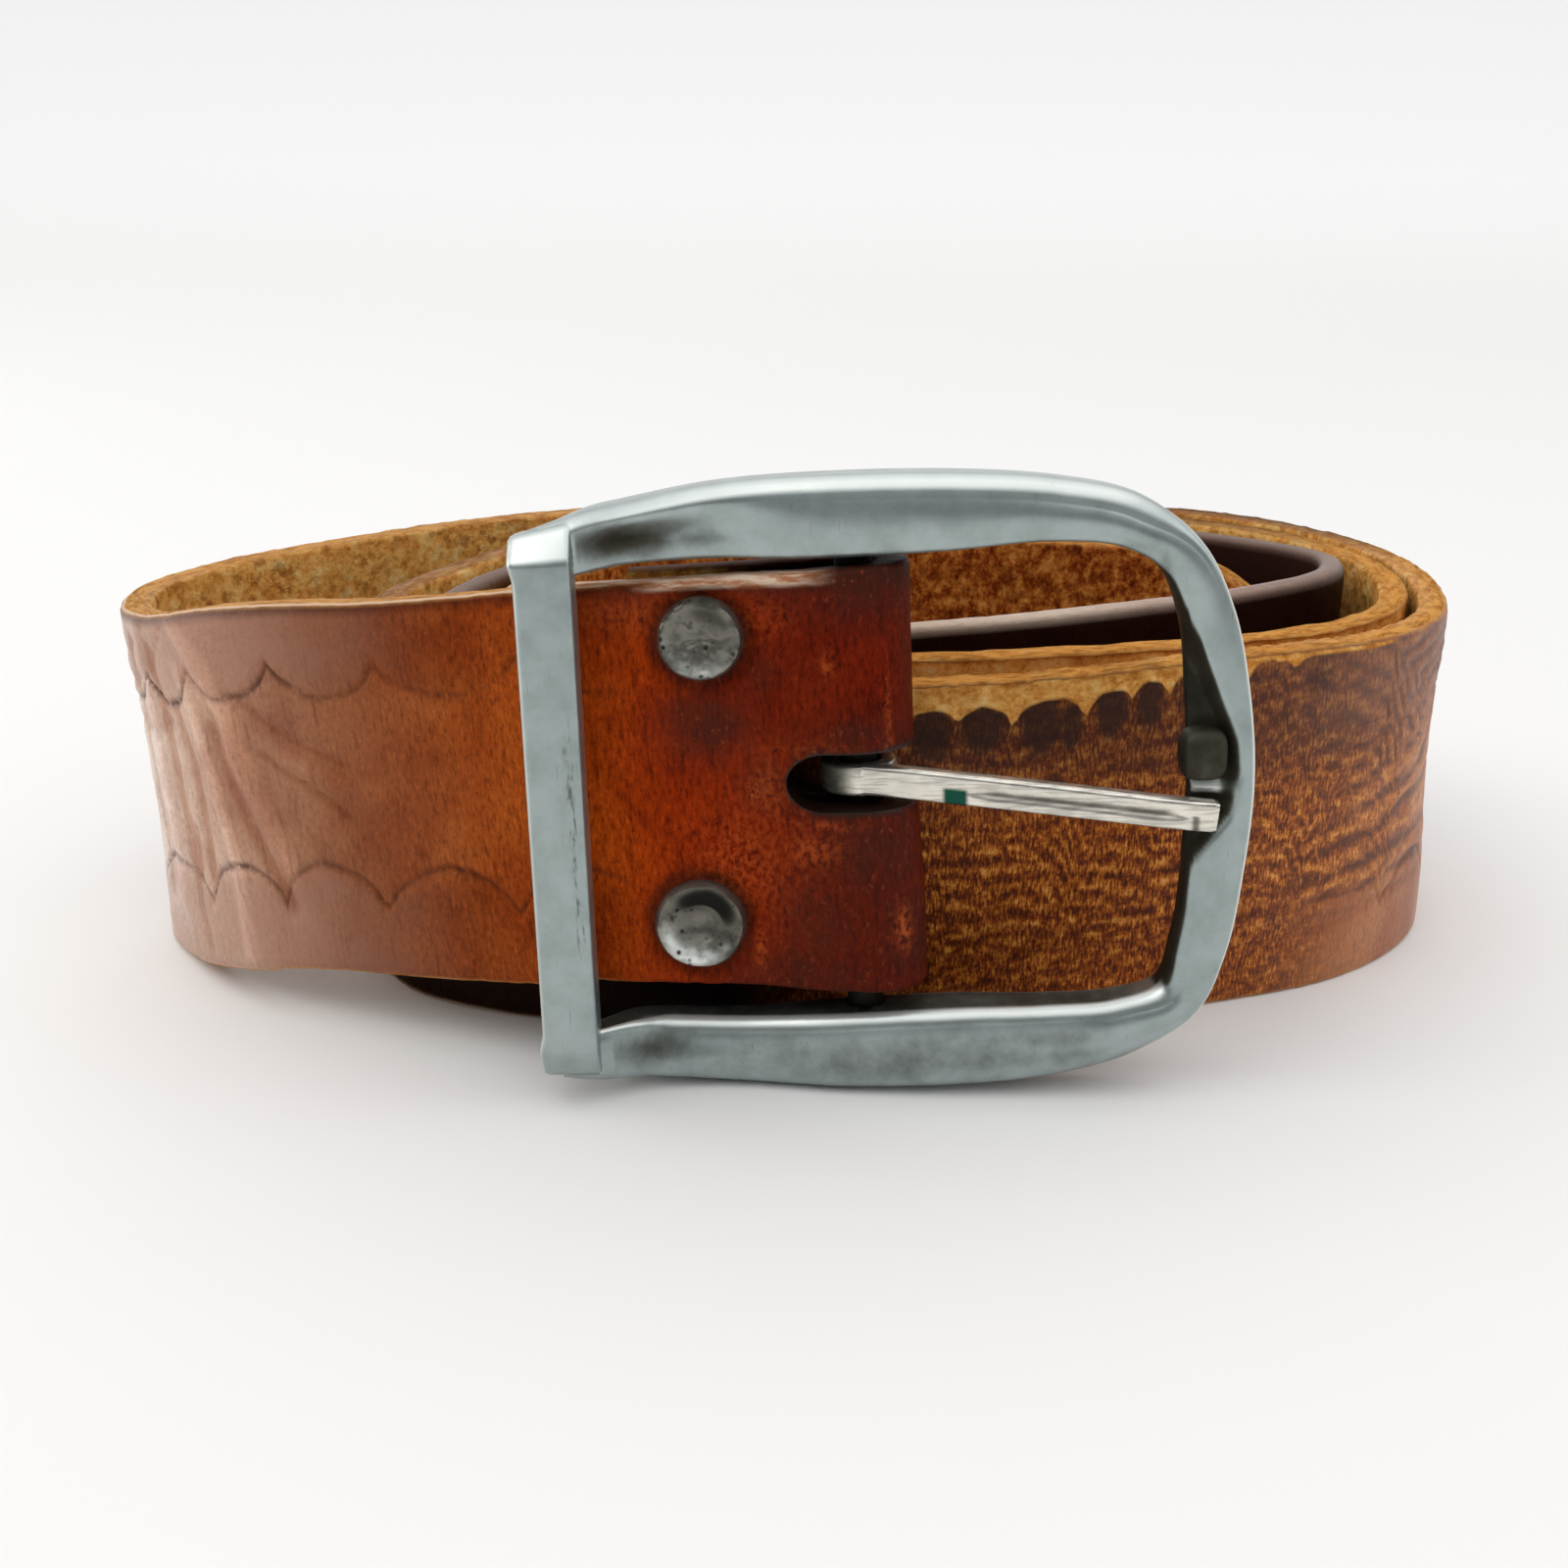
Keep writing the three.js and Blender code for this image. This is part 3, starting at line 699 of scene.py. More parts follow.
@dataclass
class Strap:
    """The belt's strap in one piece: coil, fold, slot, holes, tooling and wear. Lengths are in mm."""

    width: float = 38.0
    thick: float = 3.0
    bar_radius: float = 1.7
    gap: float = 0.3
    splayed_width: float = 39.2
    tip_length: float = 24.0
    rise: float = 1.4
    flat_end: float = -14.6
    slot_left: float = -5.8
    slot_height: float = 5.4
    slot_middle: float = 1.7
    hole_count: int = 5
    hole_spacing: float = 25.0
    hole_from_tip: float = 75.0
    hole_radius: float = 2.2
    spacing: tuple[tuple[float, float], ...] = (
        (-40, 0.7), (-6, 0.45), (95, 0.9), (285, 0.5), (410, 2.0), (850, 1.4),
    )
    face_columns: tuple[int, ...] = (9, 7, 22, 9, 8)
    corner_columns: int = 3
    flesh_columns: int = 14
    front_layer: float = 8.05
    slot_reach: float = 7.85
    tooled_width: float = 0.42
    burnished: Stretch = Stretch(690, 715, 1000, 1030)
    worn_front: Stretch = Stretch(300, 322, 398, 410)
    worn_inside: Stretch = Stretch(590, 612, 688, 704)
    wavy: Stretch = Stretch(290, 314, 385, 395)
    raised_edge: Stretch = Stretch(848, 880, 935, 955, 1.35)
    left_flare: Stretch = Stretch(82, 94, 112, 136, 1.3)
    right_flare: Stretch = Stretch(215, 250, 284, 324, 2.2)

    def fold_rows(self) -> list[tuple[float, ...]]:
        """Rows of the grain face where the strap goes round the centre bar: x, y, z, lean."""
        outer = self.bar_radius + self.gap + self.thick
        flat = self.thick + self.gap / 2
        layer = [(-20.0, flat), (self.flat_end, flat), (-9.5, flat + 0.15), (-4.5, outer - 0.5)]
        bend = [(outer * math.sin(math.pi * i / 12), outer * math.cos(math.pi * i / 12)) for i in range(13)]
        path = layer + bend + [(p, -d) for p, d in reversed(layer[1:])]
        places = BUCKLE.out(np.array([(p, d, self.rise) for p, d in path])) - SHIFT
        return [(*place, BUCKLE.lean_deg) for place in places]

    def stations(self) -> dict[str, Array]:
        """Lays stations along the strap.

        Returns:
            By name: place, inward and wide direction of each station, its distance along the strap from
            the fold, its distance to the tip and its p in the buckle's axes.
        """
        fold = self.fold_rows()
        coil = [(*r, self.width / 2, 0)[:4] if len(r) == 2 else (*r, 0)[:4]
                for r in FIRST_TURN + SECOND_TURN + THIRD_TURN + LAST_TURN]
        rows = np.array(fold + coil, float)
        path = SmoothPath(rows[:, :3])
        fine = np.linspace(0, len(rows) - 1, (len(rows) - 1) * 24 + 1)
        steps = np.linalg.norm(np.diff(path.at(fine)[0], axis=0), axis=1)
        length = np.concatenate([[0], np.cumsum(steps)])
        apex = np.interp(10.0, fine, length)
        along, here = [], -apex
        while here < length[-1] - apex:
            along.append(here)
            here += [step for start, step in self.spacing if start <= here][-1]
        along = np.array([*along, length[-1] - apex])
        t = np.interp(along + apex, length, fine)
        place, slope = path.at(t)
        place[:, 2] = np.maximum(place[:, 2], self.width / 2)
        slope /= np.linalg.norm(slope, axis=1)[:, None]
        up = np.array([0.0, 0.0, 1.0])
        inward = np.cross(slope, up)
        inward /= np.linalg.norm(inward, axis=1)[:, None]
        lean = np.radians(np.interp(t, np.arange(len(rows)), rows[:, 3]))[:, None]
        folded = (t < len(fold))[:, None]
        wide = np.where(folded, BUCKLE.axes[:, 2], up * np.cos(lean) + inward * np.sin(lean))
        wide -= (wide * slope).sum(1)[:, None] * slope
        wide /= np.linalg.norm(wide, axis=1)[:, None]
        place = place + SHIFT
        return {
            "place": place, "inward": np.cross(slope, wide), "wide": wide, "along": along,
            "to_tip": length[-1] - apex - along, "p": np.where(folded[:, 0], BUCKLE.into(place)[:, 0], -999),
        }

    def cusps(self, first: list[float], start: float = 24.0) -> Array:
        """All the points of a scalloped border, the first ones as they lie in front."""
        more = np.arange(first[-1] + CUSP_SPACING, 1110, CUSP_SPACING)
        return np.array([start - 2 * CUSP_SPACING, *first, *more])

    def border(self, along: Array, cusps: Array, point: float, round_top: float) -> Array:
        """Height of a scalloped line: point at its cusps, round_top at the middle of its arcs."""
        k = np.clip(np.searchsorted(cusps, along) - 1, 0, len(cusps) - 2)
        u = np.clip((along - cusps[k]) / (cusps[k + 1] - cusps[k]), 0, 1)
        wobble = 0.22 * lattice_noise(along / 2.4, along * 0, 5)
        return point + (round_top - point) * (4 * u * (1 - u)) ** 0.72 + wobble

    def worn_line(self, along: Array) -> Array:
        """Height where the grain ends and the worn, fibrous top begins, on the right front."""
        centres, widths = np.array(LOBES).T
        off = np.abs(along[:, None] - centres) / widths
        nearest = np.clip(off.min(1), 0, 1)
        bite = 2.1 * smooth_step(along, 322, 352) + 0.5
        ragged = 0.22 * lattice_noise(along / 0.9, along * 0, 9)
        front = read_table(along, WORN_LINE) - bite * (1 - np.sqrt(1 - nearest**2)) + ragged
        behind = 14.6 + 0.6 * rough_noise(along / 3.5, along * 0, 12)
        return np.where(along < 500, front, behind)

    def tracks(self, along: Array) -> tuple[Array, Array, Array]:
        """The two lines that the mesh follows on the grain face.

        Args:
            along: distances from the fold.

        Returns:
            Heights of the lower and of the upper line, and how far the upper one is the worn line.
        """
        lower = self.border(along, self.cusps(LOWER_CUSPS), -12.0, -7.7)
        upper = self.border(along, self.cusps(UPPER_CUSPS), 12.6, 9.0)
        worn = self.worn_front.at(along) + self.worn_inside.at(along)
        return lower, upper * (1 - worn) + self.worn_line(along) * worn, worn

    def build(self, material: bpy.types.Material) -> bpy.types.Object:
        """Makes the strap's mesh and cuts its slot and holes.

        Args:
            material: the leather.

        Returns:
            The strap.
        """
        st = self.stations()
        along = st["along"]
        half = np.full(len(along), self.width / 2)
        splay = np.clip((st["p"] + 26) / 31, 0, 1)
        half += splay * (self.splayed_width - self.width) / 2
        tip = st["to_tip"] < self.tip_length
        bow = np.sqrt(1 - (1 - st["to_tip"][tip] / self.tip_length) ** 2)
        half[tip] = half[tip] * (0.28 + 0.72 * bow)
        burnish = self.burnished.at(along)
        corner = 0.55 + 0.75 * burnish
        lower, upper, worn = self.tracks(along)
        low_end, high_end = corner - half, half - corner
        lower = np.clip(lower, low_end + 1.2, high_end - 3)
        upper_room = np.minimum(0.9, (high_end - 0.15 - upper) * 0.9)
        upper = np.where(upper_room < 0.12, high_end - 0.3, upper)
        upper_room = np.clip(upper_room, 0.12, 0.9)
        upper = np.clip(upper, lower + 3, high_end - 0.27)
        knots = [low_end, lower - 0.9, lower + 0.9, upper - upper_room, upper + upper_room, high_end]
        knots = np.maximum.accumulate(np.stack(knots, 1), axis=1)
        face = [knots[:, k, None] + (knots[:, k + 1] - knots[:, k])[:, None] * np.arange(n)[None, :] / n
                for k, n in enumerate(self.face_columns)]
        face = np.concatenate([*face, high_end[:, None]], 1)
        quarter = np.linspace(0, math.pi / 2, self.corner_columns + 1)[1:]
        flesh = high_end[:, None] * np.linspace(1, -1, self.flesh_columns + 1)[None, 1:-1]
        c = corner[:, None]
        low, high = low_end[:, None], high_end[:, None]
        first, second, back = quarter, quarter[:-1], self.thick
        up, deep = (np.concatenate(parts, 1) for parts in zip(
            (face, face * 0),
            (high + c * np.sin(first), c * (1 - np.cos(first))),
            (high + c * np.cos(second), back - c * (1 - np.sin(second))),
            (high, c * 0 + back),
            (flesh, flesh * 0 + back),
            (low, c * 0 + back),
            (low - c * np.sin(first), back - c * (1 - np.cos(first))),
            (low - c * np.cos(second), c * (1 - np.sin(second))),
            (low, c * 0),
        ))
        r = np.broadcast_to(along[:, None], up.shape)
        on_face = deep < 0.02
        on_flesh = deep > self.thick - 0.02
        edge = np.clip(np.minimum(deep, self.thick - deep) / 0.5, 0, 1)
        marks = {
            "place": np.stack([r, up, deep], 2) * MM,
            "edge": edge,
            "burnish": np.broadcast_to(burnish[:, None], up.shape),
        }
        relief = self.relief(r, up, deep, on_face, on_flesh, edge, lower, upper, worn, burnish, marks)
        lift = self.ragged(r, up, deep, half[:, None], worn[:, None], burnish[:, None])
        sag = read_table(along, SAG)
        moved_up = up + lift + sag[:, None] * smooth_step(up, half[:, None] - 6, half[:, None])
        lowered = 0.9 * splay[:, None] - 0.3 * (st["p"][:, None] > -30)
        moved_up = moved_up - lowered * smooth_step(-up, 0, 19)
        moved_up = moved_up + self.raised_edge.at(along)[:, None] * smooth_step(up, 0, half[:, None])
        left, right = self.left_flare.at(along)[:, None], self.right_flare.at(along)[:, None]
        moved_deep = deep - left * smooth_step(up, -4, 19) - right * smooth_step(-up, -8, 18)
        moved_deep = moved_deep - np.where(on_flesh, -relief, relief)
        places = (st["place"][:, None, :] + st["inward"][:, None, :] * moved_deep[:, :, None]
                  + st["wide"][:, None, :] * moved_up[:, :, None])
        skew = 0.9 * smooth_step(-up, -8, 17) * smooth_step(st["p"], -8, 4)[:, None]
        places += BUCKLE.axes[:, 0] * skew[:, :, None]
        places[:, :, 2] = np.maximum(places[:, :, 2], 0.02)
        piece = wrapped_grid("strap_leather", places * MM, marks)
        self.cut(piece, st)
        self.darken_cuts(piece)
        finish_piece(piece, Body.STRAP, material, 62)
        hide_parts("strap")
        return piece

    def ragged(self, r: Array, up: Array, deep: Array, half: Array, worn: Array, burnish: Array) -> Array:
        """How far worn fibres lift or nibble the strap's raw edges, in mm."""
        top = smooth_step(up, half - 1.2, half)
        bottom = smooth_step(-up, half - 1.2, half)
        raw = smooth_step(r, 60, 110) * (1 - burnish)
        fuzz = 0.10 * rough_noise(r / 0.9, deep / 0.7, 21) - 0.05
        return (top * (fuzz * (0.35 + 0.65 * raw) + 0.10 * worn * lattice_noise(r / 0.55, deep / 0.7, 4))
                - bottom * np.minimum(0.08 * rough_noise(r / 1.6, deep, 22), 0))

    def relief(self, r: Array, up: Array, deep: Array, on_face: Array, on_flesh: Array, edge: Array,
               lower: Array, upper: Array, worn: Array, burnish: Array, marks: dict[str, Array]) -> Array:
        """Height of the leather's surface over its plain shape, and the marks that the finish follows.

        Args:
            r: distance along the strap.
            up: height on the strap.
            deep: depth from the grain face.
            on_face: where the grain face is.
            on_flesh: where the flesh side is.
            edge: 1 on the cut edges.
            lower: height of the lower tooled line.
            upper: height of the upper line.
            worn: how far the upper line is the worn line.
            burnish: how far the edges are burnished.
            marks: receives the marks.

        Returns:
            The height in mm, outward from each side.
        """
        to_lower, to_upper = np.abs(up - lower[:, None]), np.abs(up - upper[:, None])
        tooled = smooth_step(r, 27, 33) * (1 - 0.65 * smooth_step(r, 296, 330))
        patchy = 0.75 + 0.35 * rough_noise(r / 5, up / 5, 31)
        lines = np.maximum(bell(to_lower, self.tooled_width),
                           bell(to_upper, self.tooled_width) * (1 - worn[:, None]))
        groove = tooled * lines * np.clip(patchy, 0.25, 1)
        beyond = np.maximum(smooth_step(up - upper[:, None], 0, 1.6) * (1 - worn[:, None]),
                            smooth_step(lower[:, None] - up, 0, 1.6)) * tooled
        raw_line = smooth_step(up - upper[:, None], -0.12, 0.22) * smooth_step(worn, 0.9, 1.0)[:, None]
        raw_edge = edge * smooth_step(r, 28, 34) * (1 - burnish[:, None])
        behind = np.where(deep < self.thick / 2, raw_edge, np.maximum(raw_edge, 1 - edge))
        fibre = np.where(on_face, raw_line, behind)
        dye, pale = strongest(STAINS, r, up), strongest(PALE_MARKS, r, up)
        height = -0.28 * groove + 0.12 * beyond
        wear = np.zeros_like(r)
        for crease in CREASES:
            fold = 1.05 * crease.depth * bell(line_distance(r, up, crease.line), crease.width)
            height -= fold
            wear -= fold / 0.34
        front = smooth_step(r, -2, 4)
        height += 0.10 * rough_noise(r / 9, up / 9, 41) * front + 0.035 * rough_noise(r / 1.6, up / 1.6, 42)
        rise = read_table(r, WAVE_RISE) * np.clip(0.35 + 0.08 * (up + 5), 0, 1.2)
        phase = (up - rise) / 2.1 + 0.4 * rough_noise(r / 12, up / 5, 51)
        weathered = self.wavy.at(r) * smooth_step(up, -13, -7)
        strength = 0.6 + 0.35 * lattice_noise(r / 14, up / 6, 52) + 0.4 * (1 - smooth_step(r, 318, 332))
        band = np.sin(phase * 2 * math.pi) * weathered * np.clip(strength, 0, 1)
        height += 0.10 * band * (1 - raw_line) + 0.05 * weathered * rough_noise(r / 0.9, up / 2.2, 53)
        slope_off = np.clip(up - upper[:, None], 0, 6) * worn[:, None]
        height -= raw_line * (0.16 + 0.10 * slope_off) * np.where(on_face, 1, 0)
        height += raw_line * 0.10 * rough_noise(r / 0.8, up / 0.6, 54) * on_face
        height += self.round_buckle_end(r, up, dye, pale)
        flesh_height = 0.10 * rough_noise(r / 1.3, up / 1.3, 61) + 0.08 * rough_noise(r / 6, up / 6, 62)
        edge_height = 0.05 * rough_noise(r / 1.2, deep / 0.8, 63)
        height = np.where(on_face, height, np.where(on_flesh, flesh_height, edge_height))
        height = np.where(edge * burnish[:, None] > 0.2, 0.02 * lattice_noise(r / 7, deep / 2, 64), height)
        marks.update(groove=groove * on_face, beyond=beyond * on_face, fibre=fibre, dye=dye,
                     pale=pale * on_face, band=band * on_face, wear=wear * on_face)
        return height

    def round_buckle_end(self, r: Array, up: Array, dye: Array, pale: Array) -> Array:
        """Shapes the leather round the slot and the rivets, darkens it round the slot and paints a shadow
        ring round each rivet.

        Args:
            r: distance along the strap.
            up: height on the strap.
            dye: receives the dark rim round the slot and the painted shadow rings round the rivets.
            pale: receives the worn specks.

        Returns:
            The added height in mm.
        """
        end = self.slot_reach - self.slot_left
        radius = self.slot_height / 2
        middle = self.slot_middle - self.rise
        past = np.maximum(r - (end - radius), 0)
        near = np.abs(r) < 40
        to_slot = np.where(near, np.hypot(past, up - middle) - radius, 99)
        rim = bell(to_slot - 0.75, 0.6) * smooth_step(r, 1.5, 5)
        np.maximum(dye, 0.9 * bell(np.maximum(to_slot, 0), 1.2) * near, out=dye)
        specks = np.clip(lattice_noise(r / 0.7, up / 0.7, 71) * 2 - 0.9, 0, 1)
        np.maximum(pale, rim * specks * smooth_step(r, 12, 14) * 0.9, out=pale)
        height = 0.30 * rim
        for p, q, cap in RIVETS.values():
            away = np.hypot(r - self.front_layer + p, up - q + self.rise)
            height -= 0.55 * bell(away - cap - 0.25, 0.6)
            height += 0.22 * bell(away - cap - 2.0, 0.9)
            # Painted shadow: a dark ring where each cap meets the leather.
            np.maximum(dye, 0.9 * bell(away - cap - 0.2, 0.7), out=dye)
        return height

    def cut(self, piece: bpy.types.Object, st: dict[str, Array]) -> None:
        """Cuts the tongue's slot, the rivets' holes and the belt holes."""
        radius = self.slot_height / 2
        bm = bmesh.new()
        bmesh.ops.create_circle(bm, cap_ends=True, segments=48, radius=radius * MM)
        for v in bm.verts:
            v.co.x = (self.slot_left + radius) * MM + 1.3 * v.co.x if v.co.x < 0 else 7 * MM
        top = bmesh.ops.extrude_face_region(bm, geom=bm.faces[:])["geom"]
        raised = [part for part in top if isinstance(part, bmesh.types.BMVert)]
        bmesh.ops.translate(bm, verts=raised, vec=(0, 0, 12.4 * MM))
        bmesh.ops.translate(bm, verts=bm.verts, vec=(0, 0, -5.4 * MM))
        face_front(bm, 0, 0, self.slot_middle)
        combine_local(piece, bm, "DIFFERENCE")
        for p, q, _ in RIVETS.values():
            bm = cylinder(2, 10.6, 24)
            face_front(bm, p, -0.7, q)
            combine_local(piece, bm, "DIFFERENCE")
        for i in range(self.hole_count):
            k = int(np.argmin(np.abs(st["to_tip"] - self.hole_from_tip - i * self.hole_spacing)))
            middle = st["place"][k] + st["inward"][k] * self.thick / 2
            turn = Vector((0, 0, 1)).rotation_difference(Vector(st["inward"][k])).to_matrix()
            bm = cylinder(self.hole_radius, 4.6, 24)
            bmesh.ops.rotate(bm, verts=bm.verts, matrix=turn)
            bmesh.ops.translate(bm, verts=bm.verts, vec=Vector(middle) * MM)
            combine(piece, piece_from(bm, "tool"), "DIFFERENCE")

    def darken_cuts(self, piece: bpy.types.Object) -> None:
        """Gives the walls of the slot and the holes a burnished finish, painted near black as the shade
        inside the cuts.
        """
        mesh = piece.data
        points, places = read_points(mesh), read_mark(mesh, "place")
        cut = np.abs(places).sum(1) < 1e-9
        tree = KDTree(len(points))
        for i in np.flatnonzero(~cut):
            tree.insert(points[i], i)
        tree.balance()
        for i in np.flatnonzero(cut):
            places[i] = places[tree.find(points[i])[1]]
        keep_mark(mesh, "place", places)
        # Cut walls take the burnished finish and the stain mark, which paints them near black as shade.
        for name in ("edge", "burnish", "dye", "fibre", "pale"):
            kept = read_mark(mesh, name)
            kept[cut] = 0.0 if name in ("fibre", "pale") else 1.0
            if name == "edge":
                kept[cut & (np.abs(places[:, 0]) > 60 * MM)] = 0.0
            keep_mark(mesh, name, kept)


def rounded_ring(half: Array, front: Array, back: Array, corners: tuple[Array, ...], counts: tuple[int, ...],
                 crown: float = 0.0) -> tuple[Array, Array]:
    """Sections of a bar with a flat front and rounded corners.

    Args:
        half: half the width of each section.
        front: depth of its front.
        back: depth of its back.
        corners: radii at the front's inner and outer edge and at the back's two edges.
        counts: points over the front, a corner, a side and the back.
        crown: how far the front stands out in its middle.

    Returns:
        Across and depth of each point, sections by columns, the first point repeated at the end.
    """
    on_front, on_corner, on_side, on_back = counts
    quarter = np.linspace(0, math.pi / 2, on_corner + 1)
    turn, turn_back = quarter[1:], quarter[::-1][1:]
    flat = np.linspace(0, 1, on_front + 1)[None, :]
    side = np.linspace(0, 1, on_side + 1)[None, 1:]
    rear = np.linspace(1, -1, on_back + 1)[None, 1:]
    half, front, back = half[:, None], front[:, None], back[:, None]
    inner, outer, behind = (np.reshape(c, (-1, 1)) for c in corners)
    left, right = inner - half, half - outer
    line = left + (right - left) * flat
    across, depth = zip(
        (line, front - crown * (1 - (2 * flat - 1) ** 2) + 0 * line),
        (right + outer * np.sin(turn), front + outer * (1 - np.cos(turn))),
        (half + 0 * side, front + outer + (back - front - outer - behind) * side),
        (half - behind + behind * np.cos(turn), back - behind + behind * np.sin(turn)),
        ((half - behind) * rear, back + 0 * rear),
        (behind - half - behind * np.sin(turn), back - behind + behind * np.cos(turn)),
        (-half + 0 * side, back - behind + (front + inner - back + behind) * side),
        (left - inner * np.sin(turn_back), front + inner * (1 - np.cos(turn_back))),
    )
    return np.concatenate(across, 1), np.concatenate(depth, 1)


@dataclass
class BuckleFrame:
    """The cast frame with its keeper bar, centre bar, tongue seat and boss. Lengths are in mm."""

    steps_per_row: int = 20
    bar_radius: float = 1.7
    bar_length: float = 46.0
    keeper_edges: tuple[float, float] = (-28.95, -23.9)
    keeper_depths: tuple[float, float] = (-8.4, -4.5)
    keeper_ends: tuple[float, float] = (-24.9, 25.9)
    boss: tuple[float, ...] = (30.5, -3.1, 2.8)
    boss_size: tuple[float, ...] = (2.1, 1.9, 2.4)
    boss_blunt: float = 0.62

    def build(self, material: bpy.types.Material) -> bpy.types.Object:
        """Makes the frame.

        Args:
            material: the frame's metal.

        Returns:
            The frame.
        """
        rows = np.array(ARM_ROWS, float)
        line = SmoothPath(np.stack([rows[:, 0], 0 * rows[:, 0], rows[:, 1]], 1))
        t = np.linspace(0, len(rows) - 1, (len(rows) - 1) * self.steps_per_row + 1)
        place, slope = line.at(t)
        size, _ = SmoothPath(rows[:, 2:5], even=True).at(t)
        p = place[:, 0]
        deep = size[:, 2] - size[:, 1]
        low_arm = 0.7 * smooth_step(-place[:, 2], 17, 21) * smooth_step(p, -24, -18)
        inner = np.minimum(0.6 + 0.5 * smooth_step(p, 25, 31) + low_arm, 0.42 * deep)
        outer = np.minimum(1.9 - 1.3 * smooth_step(p, 24, 30), 0.5 * deep)
        behind = np.minimum(1.5 - 0.6 * smooth_step(p, 24, 30), 0.4 * deep)
        points, s, front = self.swept(place, slope, size[:, 0] / 2, size[:, 1], size[:, 2],
                                      (inner, outer, behind), 0.28)
        above = 0.3 + 0.7 * (place[:, 2] > 0)
        points[:, :, 1] += (above * self.ridge(p, size[:, 1]))[:, None] * smooth_step(s, -0.35, 0.66) * front
        points[:, :, 1] += 1.7 * self.seat(points[:, :, 2], s) * front * smooth_step(p, 20, 27)[:, None]
        points[:, :, 1] += 0.04 * rough_noise(points[:, :, 0] / 6, points[:, :, 2] / 6, 81)
        piece = wrapped_grid("buckle_frame_metal", BUCKLE.out(points) * MM)
        self.add_keeper(piece)
        self.add_boss(piece)
        combine_local(piece, cylinder(self.bar_radius, self.bar_length, 40), "UNION")
        local = mark_metal(piece)
        # Tarnishing with painted shade, and painted highlight on the bevels and rims.
        tarnish = np.maximum(self.tarnish(local), self.shaded_side(piece, local))
        polish = self.polish(piece, local)
        tarnish = tarnish * (1 - polish * (local[:, 2] < -15))
        mark_metal(piece, tarnish=tarnish, polish=polish * np.clip(1 - tarnish, 0, 1))
        finish_piece(piece, Body.FRAME, material, 60)
        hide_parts("buckle_frame")
        return piece

    def swept(self, place: Array, slope: Array, half: Array, front: Array, back: Array,
              corners: tuple[Array, ...], crown: float) -> tuple[Array, Array, Array]:
        """Sweeps a rounded section along a line.

        Args:
            place: points of the line.
            slope: the line's slope at each.
            half: half the section's width.
            front: depth of the section's front.
            back: depth of its back.
            corners: its corner radii.
            crown: how far its front stands out.

        Returns:
            The points; where each lies over the width, from -1 at the inner edge to 1; and from 1 at the
            front to 0 at the back.
        """
        slope = slope / np.linalg.norm(slope, axis=1)[:, None]
        out = np.stack([-slope[:, 2], 0 * slope[:, 0], slope[:, 0]], 1)
        across, depth = rounded_ring(half, front, back, corners, (20, 6, 3, 6), crown)
        points = place[:, None, :] + out[:, None, :] * across[:, :, None]
        points[:, :, 1] += depth
        nearness = np.clip((back[:, None] - depth) / (back - front)[:, None], 0, 1)
        return points, across / half[:, None], nearness

    def ridge(self, p: Array, front: Array) -> Array:
        """How far a ridge that runs on from the keeper bar stands in front of the arm at its outer edge."""
        path = SmoothPath(np.array(RIDGE_DEPTHS)[:, None], even=True)
        line = path.at(np.clip((p + 28) / 4, 0, 6.999))[0][:, 0]
        return np.minimum(line - front, 0) * (1 - smooth_step(p, -20, 2))

    def seat(self, q: Array, s: Array) -> Array:
        """The soft hollow in the right bar's inner half, where the tongue's tip lies: 1 inside, 0 outside."""
        edge = read_table(q, SEAT_EDGE)
        ledge = 0.3 * bell(q + 0.5, 0.6)
        return smooth_step(edge - s, 0, 0.75) * (1 - ledge)

    def add_keeper(self, piece: bpy.types.Object) -> None:
        """Joins the straight keeper bar, whose ends flare to the left and slope back."""
        low, high = self.keeper_ends
        middle = np.linspace(low + 0.9, high - 0.9, 120)
        q = np.concatenate([[low, low + 0.12, low + 0.4], middle, [high - 0.4, high - 0.12, high]])
        from_end = np.minimum(q - low, high - q)
        lean = 0.017 * q - 0.32
        left = self.keeper_edges[0] - 0.4 * smooth_step(-from_end, -5.0, -2.8) + lean
        right = self.keeper_edges[1] + lean
        bend = np.maximum(np.abs(q - (low + high) / 2) - (high - low) / 2 + 3.0, 0)
        tuck = 0.45 * (1 - np.sqrt(1 - (1 - np.clip(from_end / 0.5, 0, 1)) ** 2))
        place = np.stack([(left + right) / 2, 0 * q, q], 1)
        slope = np.stack([0 * q, 0 * q, 0 * q + 1], 1)
        front = self.keeper_depths[0] + 0.62 * bend + tuck
        corners = (0.55 + 0 * q, 0.75 + 0 * q, 0.7 + 0 * q)
        back = self.keeper_depths[1] + 0 * q
        points, _, _ = self.swept(place, slope, (right - left) / 2 - tuck, front, back, corners, 0.10)
        points[:, :, 1] += 0.03 * rough_noise(points[:, :, 0] / 5, points[:, :, 2] / 5, 83)
        from_right = (right[:, None] - points[:, :, 0]) / (right - left)[:, None]
        points[:, :, 2] -= from_right * smooth_step(q, 22, high)[:, None]
        combine(piece, wrapped_grid("tool", BUCKLE.out(points) * MM), "UNION")

    def add_boss(self, piece: bpy.types.Object) -> None:
        """Joins the blunt boss above the tongue's tip."""
        bm = bmesh.new()
        bmesh.ops.create_icosphere(bm, subdivisions=5, radius=1)
        for v in bm.verts:
            blunt = [math.copysign(abs(c) ** self.boss_blunt, c) * size
                     for c, size in zip(v.co, self.boss_size)]
            v.co = (Vector(blunt) + Vector(self.boss)) * MM
        combine_local(piece, bm, "UNION")

